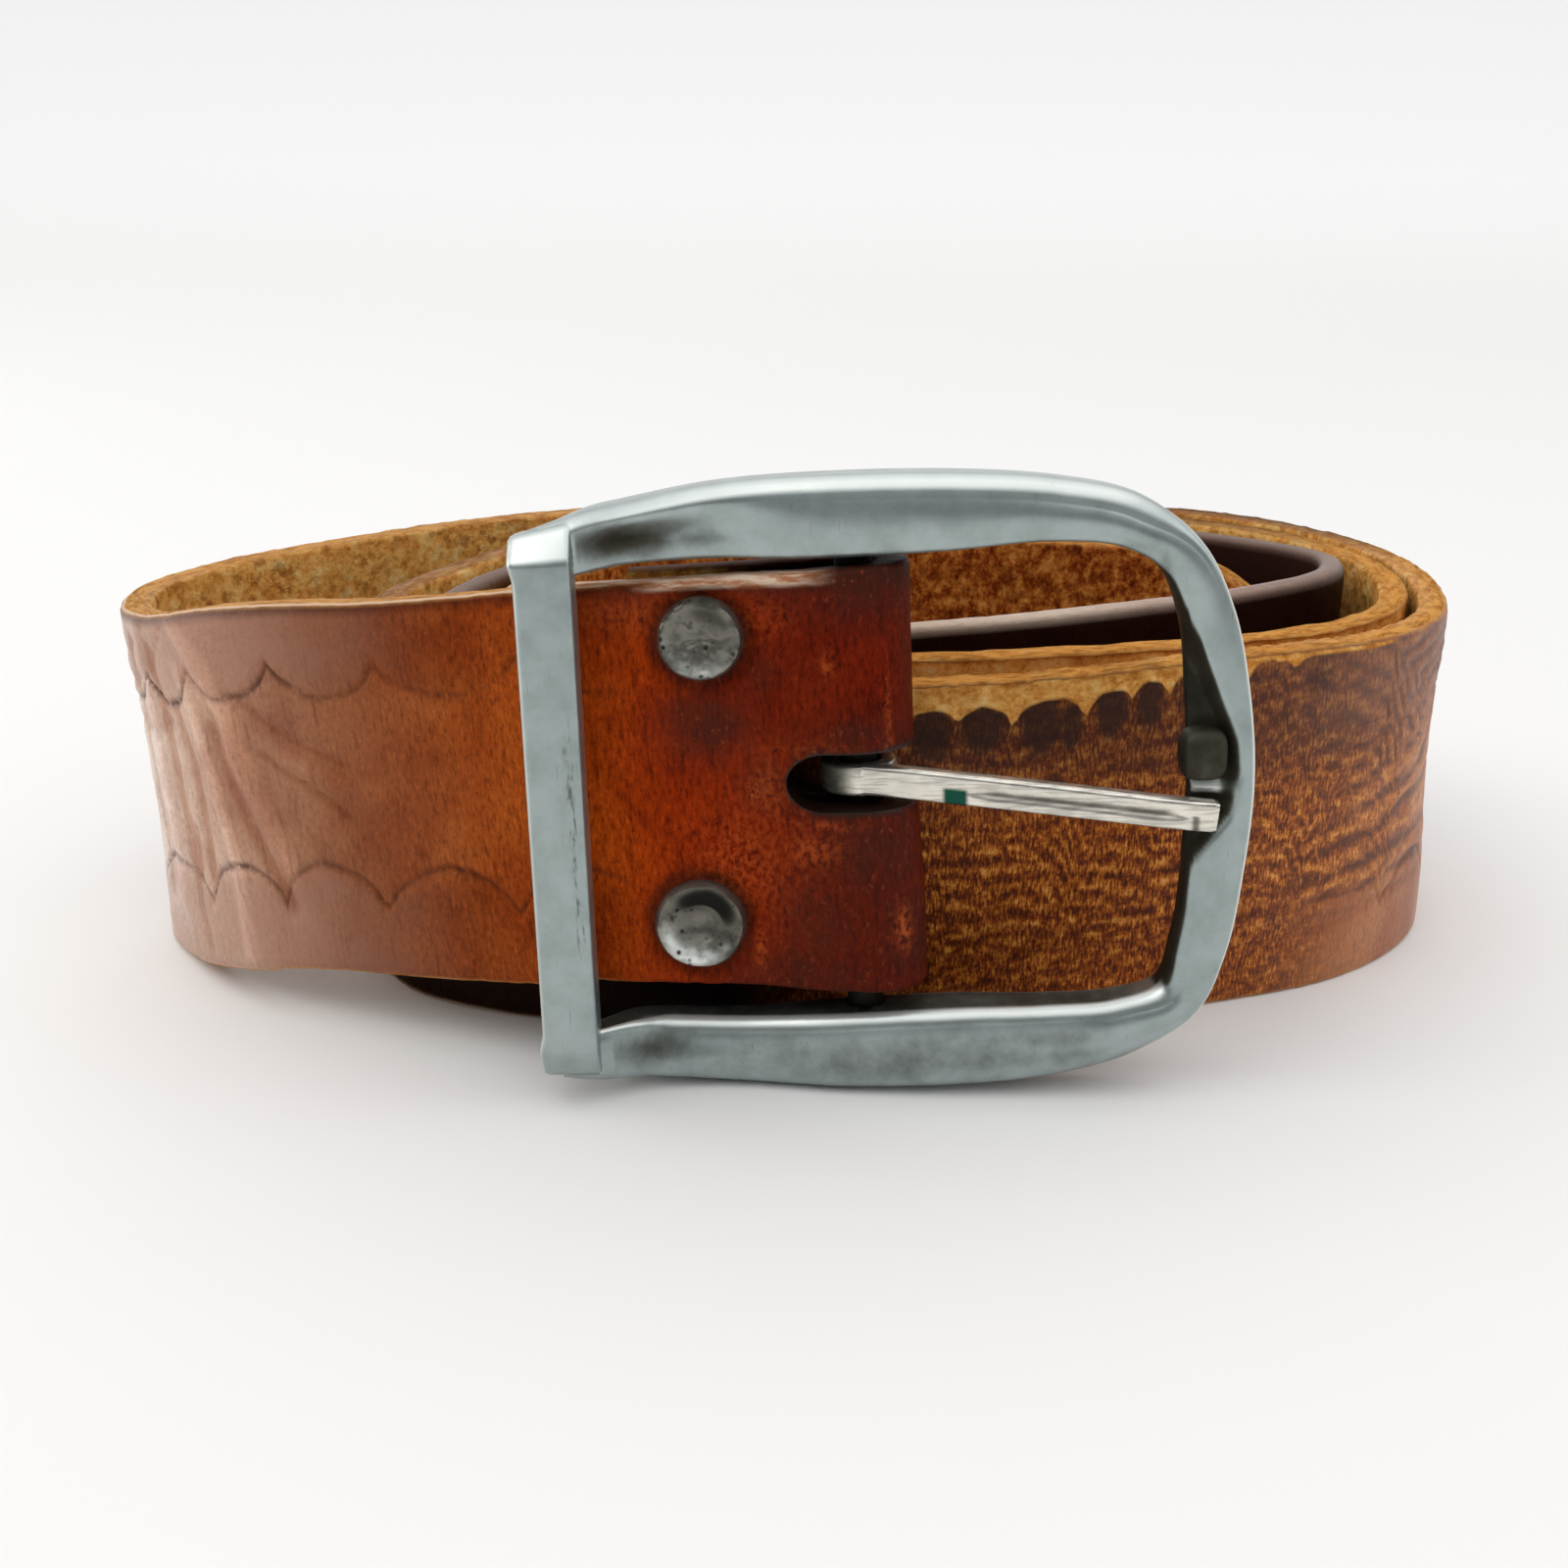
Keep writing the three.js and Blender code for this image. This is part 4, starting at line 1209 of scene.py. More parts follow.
    def tarnish(self, local: Array) -> Array:
        """How dark the metal is at points given by p, d, q in mm: tarnishing, and painted shade on the centre
        bar.
        """
        p, d, q = local.T
        spots = strongest(FRAME_STAINS, p, q) * smooth_step(p, -23.9, -23.4)
        dark = np.maximum(0.5 * smooth_step(d, -1.5, 0.5), spots)
        rows = np.array([row for row in ARM_ROWS if row[0] > 8])[::-1]
        bar = np.interp(q, rows[:, 1], rows[:, 0])
        half = np.interp(q, rows[:, 1], rows[:, 2]) / 2
        on_right = smooth_step(p, 22, 26)
        dark = np.maximum(dark, 1.1 * self.seat(q, (p - bar) / half) * on_right)
        # Painted shade: the centre bar, down in the fold and the slot, goes near black.
        on_bar = (np.hypot(p, d) < 1.85) & (np.abs(q) < 22.2)
        away = np.abs(local - self.boss) / np.array(self.boss_size)
        on_boss = (away ** (2 / self.boss_blunt)).sum(1) < 1.15
        dark = np.where(on_bar, 1.3, np.where(on_boss, 0.92, dark))
        ledge = (np.abs(q + 0.45) < 0.6) & (p > 29.4) & (p < 32.6)
        return np.where(ledge & ~on_boss, 0.0, dark)

    def polish(self, piece: bpy.types.Object, local: Array) -> Array:
        """How much painted highlight lies on the frame's upper bevel, its outer rims, the ledge by the
        tongue's tip and the top of the lower arm.

        Args:
            piece: the finished frame.
            local: p, d, q of its points in mm.

        Returns:
            From 0 to 1 at each point.
        """
        right, back, up = directions(piece)
        p, d, q = local.T
        front = smooth_step(-back, -0.35, 0.1)
        bevel = smooth_step(up, 0.30, 0.55) * (1 - 0.6 * smooth_step(up, 0.7, 0.95)) * smooth_step(q, 12, 17)
        bevel *= (0.85 - 0.6 * smooth_step(p, 22, 27)) * (0.75 + 0.25 * smooth_step(p, -20, -6))
        rim = smooth_step(np.maximum(right, 0.75 * right - 0.6 * up), 0.42, 0.75) * smooth_step(p, 25, 28)
        left = 0.5 * smooth_step(-right, 0.5, 0.8) * smooth_step(-p, 28.2, 28.7)
        inner = 0.8 * smooth_step(up, 0.28, 0.6) * smooth_step(-back, 0.05, 0.3) * smooth_step(-q, 17, 20)
        inner *= smooth_step(np.hypot(p, d), 1.9, 2.3)
        ledge = 0.9 * ((np.abs(q + 0.45) < 0.5) & (p > 29.4) & (p < 32.2))
        return np.maximum(front * np.max([bevel, rim, left, ledge], axis=0), inner)

    def shaded_side(self, piece: bpy.types.Object, local: Array) -> Array:
        """How dark the right bar's side towards the window is, from 0 to 1 at each point."""
        right, _, upward = directions(piece)
        lower = 0.8 * smooth_step(upward, 0.94, 0.995) * smooth_step(-local[:, 2], 17, 20)
        return np.maximum(1.05 * smooth_step(-right, 0.35, 0.75) * smooth_step(local[:, 0], 14, 20), lower)


@dataclass
class Tongue:
    """The tongue: a loop round the centre bar and a grooved shank with a square tip. Lengths are in mm."""

    width: float = 2.8
    wall: float = 1.5
    bar_radius: float = 1.7
    gap: float = 0.3
    rise: float = 1.4
    groove_width: float = 0.36

    def groove_reach(self, p: Array) -> Array:
        """How deep the groove is along the shank, from 0 before and behind it to 1."""
        return smooth_step(p, 8.5, 12) - smooth_step(p, 26.6, 29.6)

    def build(self, material: bpy.types.Material) -> bpy.types.Object:
        """Makes the tongue.

        Args:
            material: the tongue's metal.

        Returns:
            The tongue.
        """
        rows = np.array(TONGUE_ROWS)
        path = SmoothPath(rows, even=True)
        t = np.linspace(0, len(rows) - 1, 120)
        shank, _ = path.at(t)
        slope = math.atan2(rows[-1, 1] - rows[0, 1], rows[-1, 0] - rows[0, 0])
        half = np.full(len(t), self.width / 2)
        end = smooth_step(shank[:, 0], 31.15, 31.6)
        half = half * (1 - 0.07 * end)
        deep = shank[:, 3] / 2 * (1 - 0.08 * end)
        corners = (0.38 + 0 * t, 0.38 + 0 * t, 0.3 + 0 * t)
        across, depth = rounded_ring(half, -deep, deep, corners, (14, 4, 3, 6))
        grooved = bell(across, self.groove_width) * (depth < 0) * self.groove_reach(shank[:, 0])[:, None]
        depth = depth + 0.24 * grooved + 0.02 * lattice_noise(shank[:, 0:1] / 2, across * 2, 91)
        points = np.stack([shank[:, 0:1] - across * math.sin(slope), shank[:, 2:3] + depth,
                           shank[:, 1:2] + across * math.cos(slope)], 2)
        piece = wrapped_grid("tongue_metal", BUCKLE.out(points) * MM)
        self.add_loop(piece)
        local = mark_metal(piece)
        across = (local[:, 2] - rows[0, 1]) * math.cos(slope) - local[:, 0] * math.sin(slope)
        in_groove = 0.8 * bell(across, self.groove_width) * self.groove_reach(local[:, 0])
        tip = 0.8 * bell(local[:, 0] - 29.6, 0.5) * (across < 0.1)
        # Painted shade on the eye and the loop, down in the slot.
        eye = 1.2 * np.exp(-(((local[:, 0] + 1.2) / 0.9) ** 2 + (across / 0.8) ** 2))
        loop = 0.8 * smooth_step(-local[:, 0], -0.8, 1.8)
        mark_metal(piece, tarnish=np.max([in_groove, tip, eye, loop], axis=0))
        finish_piece(piece, Body.TONGUE, material, 35)
        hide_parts("tongue")
        return piece

    def add_loop(self, piece: bpy.types.Object) -> None:
        """Joins the loop on and clears the bar's way through it."""
        inner = self.bar_radius + self.gap
        bm = bmesh.new()
        corners = [(inner, -0.5), (inner + self.wall, -0.5), (inner + self.wall, 0.5), (inner, 0.5)]
        ring = [bm.verts.new((x * MM, 0, z * self.width * MM)) for x, z in corners]
        bm.faces.new(ring)
        bmesh.ops.bevel(bm, geom=bm.verts[:], offset=0.35 * MM, segments=3, profile=0.5, affect="VERTICES")
        edges = bm.edges[:]
        bmesh.ops.delete(bm, geom=bm.faces[:], context="FACES_ONLY")
        spin(bm, edges, 64)
        bmesh.ops.translate(bm, verts=bm.verts, vec=(0, 0, self.rise * MM))
        combine_local(piece, bm, "UNION")
        combine_local(piece, cylinder(inner, 10, 64), "DIFFERENCE")


@dataclass
class Rivet:
    """A rivet: a dished, battered cap, a post and a plain cap behind. Lengths are in mm."""

    node: str
    seed: int
    dish: float
    dents: float
    glint: float
    cap_height: float = 1.35
    post: float = 1.7
    face: float = 3.2
    glint_deg: float = -112.0

    def build(self, material: bpy.types.Material) -> bpy.types.Object:
        """Makes the rivet.

        Args:
            material: the rivet's metal.

        Returns:
            The rivet.
        """
        p, q, cap = RIVETS[self.node]
        top = self.face + self.cap_height
        profile = [(0.0, -top + 0.1), (0.5 * cap, -top + 0.1), (0.75 * cap, -top + 0.12),
                   (0.9 * cap, -top + 0.3), (cap, -self.face - 0.3), (cap, -self.face - 0.05),
                   (self.post, -self.face),
                   (self.post, self.face), (cap - 0.05, self.face), (cap, self.face + 0.4),
                   (cap - 0.1, self.face + 0.85), (cap - 0.35, top - 0.03), (cap - 0.62, top),
                   (cap - 0.95, top - 0.08)]
        for k in range(1, 12):
            away = (cap - 0.95) * (1 - k / 11)
            profile.append((away, top - 0.08 - self.dish * smooth_step(np.array(cap - 0.95 - away), 0, 2.8)))
        bm = bmesh.new()
        line = [bm.verts.new((float(x) * MM, 0, float(z) * MM)) for x, z in profile]
        edges = [bm.edges.new(pair) for pair in zip(line, line[1:])]
        spin(bm, [*line, *edges], 72)
        points = np.array([v.co[:] for v in bm.verts]) / MM
        away = np.hypot(points[:, 0], points[:, 1])
        front = smooth_step(points[:, 2], self.face + 0.4, self.face + 0.9)
        dents = rough_noise(points[:, 0] / 0.9 + 7 * self.seed, points[:, 1] / 0.9, self.seed)
        rim = bell(away - cap + 0.5, 0.4)
        angle = np.arctan2(points[:, 1], points[:, 0])
        jagged = lattice_noise(angle * 4, away * 0 + self.seed, self.seed + 3)
        points[:, 2] += front * (self.dents * dents + rim * 0.12 * jagged)
        widen = 1 + 0.012 * lattice_noise(angle * 2.2, away * 0, self.seed + 5)
        points[:, :2] *= widen[:, None]
        share = away / cap
        from_glint = np.cos(angle - math.radians(self.glint_deg))
        # Painted highlight: a bright crescent in the dish on the glint's side; painted shadow opposite it.
        crescent = self.glint * front * bell(share - 0.74, 0.15) * np.clip(from_glint, 0, 1) ** 1.5
        shadow = self.glint * front * bell(share - 0.6, 0.3) * np.clip(-from_glint, 0, 1)
        for v, place in zip(bm.verts, points):
            v.co = Vector(place) * MM
        face_front(bm, p, 0, q)
        bmesh.ops.transform(bm, matrix=BUCKLE.matrix, verts=bm.verts)
        piece = piece_from(bm, f"{self.node}_metal")
        mark_metal(piece, polish=crescent, tarnish=1.2 * shadow)
        finish_piece(piece, Body.STRAP, material, 50)
        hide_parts(self.node)
        return piece


# The stretch of the strap that the colour ramps cover, in mm from the fold
RAMP_START = -30
RAMP_LENGTH = 1140


def along_strap(mm: float) -> float:
    """A distance along the strap on the scale that the leather's colour ramps use."""
    return (mm - RAMP_START) / RAMP_LENGTH


# Colours along the strap, in mm from the fold. The grain's tones hold painted sheen, with some wear, at the
# left and right bends (72 to 92 and 284 to 299 mm), and painted shade where the second turn runs behind the
# buckle (from 386 mm) and on the third turn's face (690 to 948 mm). The edges' tones hold a painted highlight
# on the third turn's edge, brightest near 920 mm.
GRAIN_TONES = (
    (-25, linear(140, 56, 14)), (2, linear(108, 26, 5)), (14, linear(122, 34, 4)), (22, linear(146, 42, 4)),
    (29, linear(176, 66, 8)), (36, linear(178, 80, 16)), (46, linear(158, 80, 32)), (60, linear(150, 92, 58)),
    (72, linear(184, 137, 108)), (82, linear(218, 188, 166)), (92, linear(236, 222, 210)),
    (112, linear(156, 92, 54)), (270, linear(152, 92, 60)), (284, linear(224, 188, 168)),
    (299, linear(216, 164, 132)), (316, linear(200, 134, 88)), (345, linear(150, 78, 32)),
    (374, linear(122, 56, 20)), (386, linear(26, 15, 10)),
    (540, linear(70, 42, 26)), (620, linear(110, 60, 28)), (690, linear(50, 22, 12)),
    (720, linear(34, 15, 9)), (948, linear(34, 15, 9)), (1000, linear(84, 48, 30)),
)
EDGE_TONES = (
    (-25, linear(70, 40, 28)), (24, linear(74, 38, 24)), (32, linear(196, 142, 84)),
    (100, linear(204, 152, 88)), (196, linear(190, 144, 92)), (214, linear(112, 84, 64)),
    (256, linear(104, 78, 60)), (270, linear(122, 90, 60)),
    (284, linear(206, 148, 76)), (388, linear(214, 148, 68)), (400, linear(160, 124, 96)),
    (520, linear(150, 112, 84)), (540, linear(118, 86, 66)), (572, linear(136, 98, 62)),
    (592, linear(206, 146, 72)), (690, linear(206, 142, 66)), (705, linear(118, 86, 70)),
    (800, linear(100, 72, 58)), (862, linear(112, 84, 68)), (884, linear(132, 102, 86)),
    (902, linear(166, 138, 122)), (920, linear(202, 180, 160)), (950, linear(170, 138, 116)),
    (965, linear(196, 140, 72)),
)


@dataclass(frozen=True)
class LeatherFinish:
    """Tooled, dyed and worn leather: grain, flesh and cut edges in one, with painted sheen, shade and
    highlights.
    """

    plum: Colour = linear(54, 32, 25)
    groove: Colour = linear(78, 36, 22)
    fibre_light: Colour = linear(248, 186, 100)
    cream: Colour = linear(226, 196, 168)

    def build(self) -> bpy.types.Material:
        """Builds the leather's nodes."""
        g = Graph(bpy.data.materials.new("leather"))
        place = g.place("place")
        r, up, deep = g.parts(place)
        scale = g.scaled(r, 1 / RAMP_LENGTH, -RAMP_START / RAMP_LENGTH)
        fine = g.noise(place, 4.5, 4, 0.6)
        streak = g.noise(g.stretch(place, (3.9, 0.85, 1.0)), 1.0, 5, 0.66)
        suede = g.noise(place, 1.1, 6, 0.72)
        weathered = g.times(g.step(r, 288, 318), g.step(r, 388, 374))
        weathered = g.times(weathered, g.most(g.step(up, -12, -6), g.step(r, 316, 334)))
        fibre, edge = g.mark("fibre"), g.mark("edge")
        colour = g.mix(fibre, self.grain(g, place, scale, streak, weathered), self.flesh(g, place, suede))
        edge_colour = g.ramp(scale, [(along_strap(mm), tone) for mm, tone in EDGE_TONES])
        shade = g.noise(g.stretch(place, (0.5, 1.6, 1.6)), 1.0, 4, 0.7)
        streaky = g.times(g.step(shade, 0.6, 0.36), g.span(g.mark("burnish"), 1.0, 0.3))
        edge_colour = g.mix(streaky, edge_colour, g.tint(edge_colour, linear(190, 170, 150)))
        # Painted shade: the lower edge by the buckle's end, darkened where it stands in shadow.
        below = g.times(g.step(up, -10, -14), g.step(r, 70, 40))
        edge_colour = g.mix(g.times(below, 0.8), edge_colour, linear(46, 26, 20))
        # Cut edges go near black with the stains, and on the walls of the slot and the holes as painted
        # shade.
        cut = g.mix(g.mark("dye"), edge_colour, linear(30, 16, 10))
        colour = g.mix(edge, colour, cut)
        rim = g.times(g.step(edge, 0.12, 0.4), g.step(edge, 0.95, 0.6))
        rim = g.times(rim, g.step(deep, 1.4, 1.0))
        rim = g.times(rim, g.step(up, 10, 14))
        rim = g.times(rim, g.times(g.step(r, 28, 34), g.step(r, 120, 104)))
        colour = g.mix(g.times(rim, 0.8), colour, self.cream)
        lip = g.times(g.step(up, 18.0, 18.8), g.step(r, 28, 24))
        lip = g.most(g.step(edge, 0.1, 0.7), g.times(lip, g.step(deep, 1.0, 0.4)))
        # Frayed top edge at the buckle's end: pale threads, lightened further as painted light against the
        # arm's shadow.
        frayed = g.times(lip, g.times(g.step(r, 9, 14), g.step(r, 40, 33)))
        frayed = g.times(frayed, g.step(up, 10, 14))
        threads = g.step(g.noise(g.stretch(place, (0.3, 1.5, 1.5)), 1.0, 4, 0.65), 0.36, 0.66)
        frayed_colour = g.mix(threads, linear(166, 106, 66), linear(226, 200, 176))
        colour = g.mix(g.times(frayed, 0.95), colour, frayed_colour)

        pores = g.cells(g.stretch(place, (1.0, 0.8, 1.0)), 2.3)
        grain_height = g.plus(g.times(pores, 0.5), g.times(fine, 0.5))
        grain_height = g.plus(grain_height, g.times(g.times(streak, weathered), 0.9))
        fuzz = g.plus(g.times(suede, 3.0), g.noise(place, 5.0, 3, 0.7))
        smooth_edge = g.times(edge, g.mark("burnish"))
        height = g.blend(smooth_edge, g.blend(fibre, grain_height, fuzz), fine)
        rough = g.blend(smooth_edge, g.blend(fibre, g.span(fine, 0.34, 0.50), 0.95), 0.32)
        shine = g.times(g.step(r, 42, 92), g.span(g.step(r, 350, 312), 0.25, 1.0))
        shine = g.scaled(g.times(shine, g.step(r, 395, 385)), 0.32, 0.03)
        shine = g.blend(smooth_edge, g.blend(fibre, shine, 0.05), 0.42)
        relief = g.bump(height, 0.11, 0.9)
        return g.shade(Base_Color=colour, Roughness=rough, Normal=relief, Specular_IOR_Level=shine)

    def grain(self, g: Graph, place: object, scale: object, streak: object,
              weathered: object) -> bpy.types.NodeSocket:
        """Colour of the grain side.

        Args:
            g: the graph.
            place: distance along, height and depth in mm.
            scale: distance along on the ramps' scale.
            streak: noise drawn out along the height.
            weathered: where the grain is worn to flecks.

        Returns:
            The colour.
        """
        r, up, _ = g.parts(place)
        groove, dye, wear = g.mark("groove"), g.mark("dye"), g.mark("wear")
        base = g.ramp(scale, [(along_strap(mm), tone) for mm, tone in GRAIN_TONES])
        cloud = g.noise(g.stretch(place, (0.09, 0.09, 0.2)), 1.0, 4, 0.55)
        cloudy = g.tint(base, linear(206, 168, 150))
        base = g.mix(g.times(g.step(cloud, 0.62, 0.4), 0.55), base, cloudy)
        hairs = g.noise(g.stretch(place, (1.5, 0.22, 1.0)), 1.0, 4, 0.6)
        hairy = g.times(g.step(hairs, 0.5, 0.68), g.span(g.step(r, 40, 25), 0.35, 0.65))
        base = g.mix(hairy, base, g.tint(base, linear(170, 150, 150)))
        speckle = g.noise(g.stretch(place, (1.0, 0.7, 1.0)), 1.9, 5, 0.68)
        light_specks = g.times(g.step(speckle, 0.52, 0.72), g.span(g.step(r, 44, 30), 0.45, 0.6))
        base = g.mix(light_specks, base, g.tint(base, (1.5, 1.65, 1.9)))
        dark_specks = g.times(g.step(speckle, 0.5, 0.28), g.span(g.step(r, 44, 30), 0.45, 0.7))
        base = g.mix(dark_specks, base, g.tint(base, (0.42, 0.36, 0.36)))
        threads = g.noise(g.stretch(place, (2.8, 0.75, 1.0)), 1.0, 4, 0.75)
        near_end = g.step(r, 70, 38)
        dark_threads = g.times(near_end, g.times(g.step(threads, 0.50, 0.36), 0.7))
        base = g.mix(dark_threads, base, g.tint(base, (0.34, 0.3, 0.32)))
        light_threads = g.times(near_end, g.times(g.step(threads, 0.54, 0.68), 0.6))
        base = g.mix(light_threads, base, g.tint(base, (1.7, 2.0, 2.4)))
        blotch = g.noise(g.stretch(place, (0.5, 0.9, 1.0)), 1.0, 3, 0.6)
        mottle = g.plus(streak, g.scaled(blotch, 0.55, -0.275))
        mottle = g.plus(mottle, g.times(g.mark("band"), 0.12))
        grit = g.noise(g.stretch(place, (1.0, 0.6, 1.0)), 3.4, 3, 0.7)
        mottle = g.plus(mottle, g.scaled(grit, 0.36, -0.18))
        worn_colour = g.ramp(mottle, [
            (0.32, linear(54, 18, 5)), (0.43, linear(100, 40, 10)), (0.53, linear(158, 80, 20)),
            (0.63, linear(212, 130, 44)), (0.74, linear(238, 172, 92)),
        ])
        base = g.mix(g.times(weathered, g.span(g.step(r, 300, 340), 0.5, 0.88)), base, worn_colour)
        lines = g.times(g.step(g.mark("band"), -0.1, -0.85), g.step(r, 345, 316))
        base = g.mix(g.times(lines, 0.6), base, linear(84, 46, 30))
        shade = g.times(g.step(up, 1, 11), g.times(g.step(r, 304, 330), g.step(r, 400, 395)))
        base = g.mix(g.times(shade, 0.55), base, linear(70, 40, 30))
        haze = g.times(g.step(up, 5, 14), g.times(g.step(r, 338, 306), g.step(r, 268, 282)))
        base = g.mix(g.times(haze, 0.6), base, linear(134, 98, 86))
        # Painted sheen: the tooled borders turn pale and pinkish at the left bend.
        pale_side = g.times(g.step(r, 46, 68), g.step(r, 130, 100))
        pale_side = g.times(pale_side, g.span(g.step(cloud, 0.62, 0.38), 0.45, 1.0))
        outside = g.mix(pale_side, g.tint(base, linear(196, 172, 172)), linear(176, 136, 116))
        base = g.mix(g.times(g.mark("beyond"), 0.5), base, outside)
        top = g.times(g.step(up, 17.2, 18.7), g.step(r, 110, 100))
        base = g.mix(g.times(top, 0.75), base, linear(66, 28, 16))
        # Painted sheen on the crease ridges and painted shade in the crease hollows.
        base = g.mix(g.times(g.step(wear, 0.15, 1.0), 0.5), base, g.tint(base, (1.5, 1.6, 1.7)))
        base = g.mix(g.times(g.step(wear, -0.12, -0.9), 0.65), base, g.tint(base, (0.68, 0.46, 0.32)))
        # Plum stains and the dark rim round the slot, with the painted shadow rings round the rivets that
        # share their mark.
        rag = g.scaled(g.noise(place, 0.9, 4, 0.6), 0.7, -0.35)
        ragged_dye = g.step(g.plus(dye, rag), 0.3, 0.8)
        uneven = g.noise(g.stretch(place, (1.0, 0.55, 1.0)), 0.6, 4, 0.6)
        soft_dye = g.times(dye, g.span(uneven, 0.4, 1.4))
        base = g.mix(g.times(g.blend(g.step(r, 90, 110), soft_dye, ragged_dye), 0.88), base, self.plum)
        scuffs = g.noise(g.stretch(place, (1.5, 0.9, 1.0)), 1.0, 5, 0.75)
        scuffs = g.times(g.step(scuffs, 0.55, 0.7), near_end)
        base = g.mix(g.times(scuffs, g.times(g.step(dye, 0.15, 0.6), 0.55)), base, linear(150, 72, 40))
        ragged_groove = g.times(groove, g.step(g.noise(place, 1.2, 3, 0.6), 0.25, 0.55))
        base = g.mix(g.times(ragged_groove, 0.9), base, self.groove)
        return g.mix(g.times(g.mark("pale"), g.step(speckle, 0.4, 0.6)), base, linear(196, 92, 40))

    def flesh(self, g: Graph, place: object, suede: object) -> bpy.types.NodeSocket:
        """Colour of the flesh side and of raw fibres.

        Args:
            g: the graph.
            place: distance along, height and depth in mm.
            suede: coarse noise.

        Returns:
            The colour.
        """
        r, _, deep = g.parts(place)
        clump = g.noise(place, 0.35, 3, 0.6)
        colour = g.ramp(g.scaled(clump, 0.5, g.times(suede, 0.6)), [
            (0.37, linear(168, 100, 42)), (0.48, linear(216, 142, 64)), (0.59, self.fibre_light),
            (0.69, linear(252, 216, 146)),
        ])
        patches = g.noise(g.stretch(place, (1.0, 0.8, 1.0)), 0.85, 5, 0.72)
        inner = g.ramp(patches, [
            (0.34, linear(84, 26, 8)), (0.45, linear(140, 64, 18)), (0.55, linear(188, 108, 42)),
            (0.68, linear(222, 154, 76)),
        ])
        colour = g.mix(g.step(r, 950, 1000), colour, inner)
        on_flesh = g.step(deep, 2.0, 2.6)
        pits = g.step(g.noise(place, 0.62, 4, 0.72), 0.52, 0.60)
        pits = g.times(g.times(pits, g.step(g.noise(place, 0.11, 2), 0.36, 0.56)), on_flesh)
        colour = g.mix(g.times(pits, 0.52), colour, linear(122, 66, 26))
        inner_wall = g.times(g.times(g.step(r, 700, 760), g.step(r, 962, 950)), on_flesh)
        shadow = g.most(inner_wall, g.step(g.size_of(r), 24, 17))
        return g.mix(shadow, colour, linear(46, 24, 18))


@dataclass(frozen=True)
class MetalFinish:
    """Worn metal with fine brushing, scratches, dark tarnishing, and painted shade and highlights from the
    marks on its mesh.
    """

    name: str
    colour: Colour
    tarnish: Colour
    roughness: tuple[float, float]
    brush: tuple[float, float, float] = (1.5, 6.0, 1.5)
    scratch: tuple[float, float, float] = (7.0, 7.0, 0.35)
    streaks: float = 0.0
    pitting: float = 0.0
    verdigris: bool = False

    def build(self) -> bpy.types.Material:
        """Builds the metal's nodes."""
        g = Graph(bpy.data.materials.new(self.name))
        place = g.place("local")
        brushed = g.noise(g.stretch(place, self.brush), 1.0, 4, 0.6)
        patches = g.noise(place, 0.32, 5, 0.62)
        scratches = g.step(g.noise(g.stretch(place, self.scratch), 1.0, 2, 0.4), 0.70, 0.78)
        colour = g.mix(g.step(patches, 0.3, 0.75), self.colour, g.tint(self.colour, (0.78, 0.79, 0.78)))
        streaks = g.times(g.step(brushed, 0.54, 0.4), self.streaks)
        colour = g.mix(streaks, colour, g.tint(self.colour, (0.4, 0.4, 0.4)))
        colour = g.mix(g.times(scratches, 0.5), colour, g.tint(self.colour, (0.35, 0.35, 0.35)))
        across, _, along = g.parts(place)
        rusty = g.times(g.step(patches, 0.46, 0.7), 0.7) if self.pitting else g.step(patches, 0.66, 0.9)
        # The dark mark holds tarnishing and painted shade; its strongest values go near black.
        mark = g.scaled(g.mark("tarnish"), 1.25, g.scaled(patches, 0.6, -0.45))
        amount = g.most(rusty, g.times(g.step(mark, 0.1, 1.1), 0.95))
        black = g.times(g.step(mark, 0.9, 1.4), 0.8)
        # Painted highlight: whitened bevels, rims and glints.
        polish = g.mark("polish")
        colour = g.mix(polish, colour, linear(232, 236, 231))
        nicks = g.step(g.size_of(g.plus(across, 25.3)), 0.5, 0.15)
        nicks = g.times(nicks, g.step(g.size_of(g.plus(along, 2.0)), 14.0, 9.0))
        nicks = g.times(nicks, g.step(g.noise(g.stretch(place, (3.2, 1.0, 0.5)), 1.0, 3, 0.6), 0.5, 0.66))
        amount = g.most(amount, g.times(nicks, 0.6))
        if self.pitting:
            holes = g.step(g.cells(place, 1.2), 0.44, 0.12)
            amount = g.most(amount, g.times(holes, g.step(g.noise(place, 0.6, 2), 0.4, 0.6)))
        colour = g.mix(amount, colour, self.tarnish)
        colour = g.mix(black, colour, linear(16, 14, 11))
        if self.verdigris:
            off = g.plus(along, g.scaled(across, 0.1375, -1.6))
            near = g.step(g.size_of(g.math("SUBTRACT", across, 8.4)), 1.3, 0.8)
            spot = g.times(near, g.step(off, 0.3, -0.1))
            spot = g.times(spot, g.step(g.noise(place, 0.9, 3), 0.22, 0.36))
            colour = g.mix(spot, colour, linear(14, 74, 58))
        height = g.plus(g.times(brushed, 0.5), g.times(scratches, -0.6))
        if self.pitting:
            height = g.plus(height, g.times(amount, -self.pitting))
        low, high = self.roughness
        return g.shade(
            Base_Color=colour, Metallic=g.blend(amount, g.blend(polish, 0.8, 0.5), 0.75),
            Roughness=g.blend(amount, g.span(brushed, low, high), 0.6), Normal=g.bump(height, 0.03, 0.6),
        )


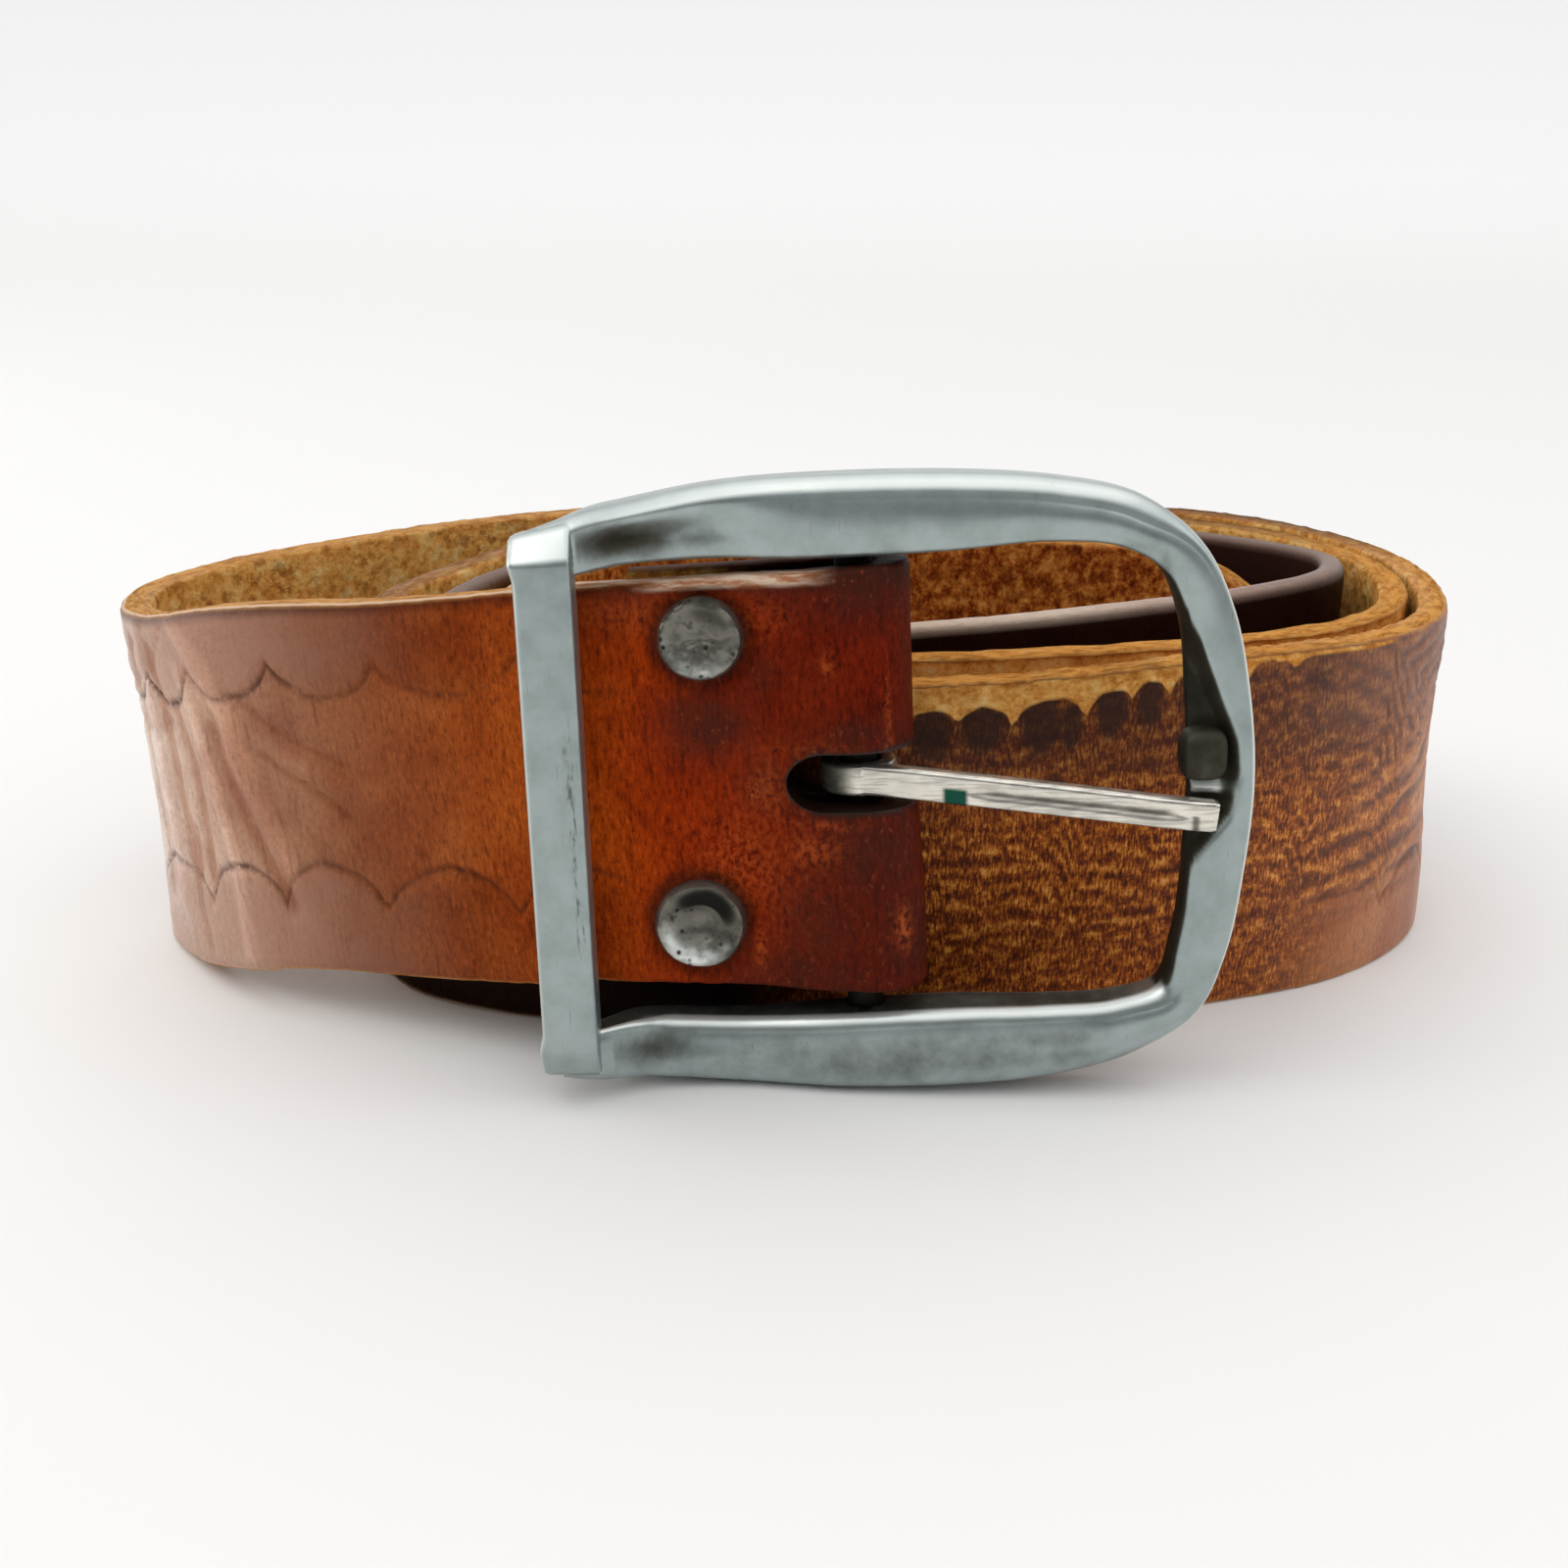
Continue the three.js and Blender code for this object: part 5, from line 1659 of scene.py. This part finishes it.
@dataclass
class Studio:
    """Pale floor that sweeps up behind, soft lights and the photograph's camera."""

    camera_place: tuple[float, float, float] = (-0.00258, -0.18903, 0.0861)
    pitch_deg: float = 20.7
    roll_deg: float = 0.7
    lens_mm: float = 40.5
    backdrop: Colour = linear(238, 237, 235)
    surround: float = 1.36
    tent_levels: Rows = (
        (0.0, 0.5), (0.49, 0.5), (0.5, 0.10), (0.62, 0.12), (0.75, 0.24), (0.825, 0.78), (0.9, 1.0),
        (1.0, 1.0),
    )

    def build(self) -> None:
        """Sets the stage."""
        self.add_floor()
        self.add_world()
        self.add_light("key", (-0.55, -0.35, 0.85), 0.6, 1.3, (1.0, 0.98, 0.95))
        self.add_light("side", (-0.9, 0.05, 0.30), 0.4, 1.9, (1.0, 0.98, 0.96))
        self.add_light("fill", (0.8, -0.35, 0.45), 0.5, 0.9, (0.97, 0.98, 1.0))
        self.add_camera()

    def add_floor(self) -> None:
        """Adds the floor."""
        bm = bmesh.new()
        bmesh.ops.create_grid(bm, x_segments=8, y_segments=80, size=4.0)
        for v in bm.verts:
            lift = max(0.0, v.co.y - 1.0)
            v.co.z = 0.1 * lift**2
        floor = piece_from(bm, "floor")
        if floor.data.polygons[0].normal.z < 0:
            floor.data.flip_normals()
        floor.data.shade_smooth()
        g = Graph(bpy.data.materials.new("floor"))
        far = g.step(g.parts(g.place())[1], 300, 1800)
        tone = g.mix(g.noise(g.place(), 0.004, 2), self.backdrop, linear(236, 235, 233))
        tone = g.mix(far, tone, linear(250, 250, 248))
        floor.data.materials.append(g.shade(Base_Color=tone, Roughness=0.8, Specular_IOR_Level=0.2))

    def add_world(self) -> None:
        """Adds the surround of a light tent: bright overhead and behind, and darker low down in front."""
        world = bpy.data.worlds.new("world")
        g = Graph(world)
        _, back, up = g.parts(g.node("ShaderNodeTexCoord").outputs["Generated"])
        tent = g.ramp(g.scaled(up, 0.5, 0.5), [
            (height, (level * 0.985, level * 0.99, level)) for height, level in self.tent_levels
        ])
        behind = g.times(g.step(back, 0.0, 0.4), 0.5)
        background = g.tree.nodes["Background"]
        g.feed(background.inputs["Color"], g.mix(1.0, tent, behind, "LIGHTEN"))
        g.feed(background.inputs["Strength"], self.surround)
        bpy.context.scene.world = world

    def add_light(self, name: str, place: tuple[float, ...], size: float, power: float,
                  colour: Colour) -> None:
        """Adds one soft light, turned to the belt.

        Args:
            name: the light's name.
            place: where it stands, in metres.
            size: its side, in metres.
            power: in watts.
            colour: its colour.
        """
        data = bpy.data.lights.new(name, "AREA")
        data.size, data.energy, data.color = size, power, colour
        light = add_object(name, data)
        light.location = place
        light.rotation_euler = (Vector((0, 0, 0.02)) - Vector(place)).to_track_quat("-Z", "Y").to_euler()

    def add_camera(self) -> None:
        """Adds the camera."""
        data = bpy.data.cameras.new("camera")
        data.lens, data.sensor_width = self.lens_mm, 36.0
        data.clip_start, data.clip_end = 0.01, 20.0
        camera = add_object("camera", data)
        pitch = Matrix.Rotation(math.radians(90 - self.pitch_deg), 4, "X")
        roll = Matrix.Rotation(math.radians(self.roll_deg), 4, "Z")
        camera.matrix_world = Matrix.Translation(self.camera_place) @ pitch @ roll
        bpy.context.scene.camera = camera


def main() -> None:
    """Builds the belt, piece by piece, and its stage."""
    logging.basicConfig(level=logging.INFO, format="%(name)s %(message)s")
    bpy.context.scene.view_settings.view_transform = "Standard"
    leather = LeatherFinish().build()
    frame_metal = MetalFinish("frame_metal", linear(167, 179, 178), linear(52, 46, 26), (0.27, 0.38)).build()
    tongue_metal = MetalFinish(
        "tongue_metal", linear(238, 232, 220), linear(70, 68, 58), (0.16, 0.28), brush=(0.25, 2.0, 3.4),
        scratch=(0.2, 4.0, 6.0), streaks=0.55, verdigris=True,
    ).build()
    rivet_metal = MetalFinish(
        "rivet_metal", linear(120, 117, 108), linear(36, 32, 26), (0.26, 0.40), pitting=1.4,
    ).build()
    Strap().build(leather)
    BuckleFrame().build(frame_metal)
    Tongue().build(tongue_metal)
    Rivet("rivet_upper", 101, 0.5, 0.14, 0.6).build(rivet_metal)
    Rivet("rivet_lower", 131, 1.25, 0.06, 1.4).build(rivet_metal)
    Studio().build()


if __name__ == "__main__":
    main()
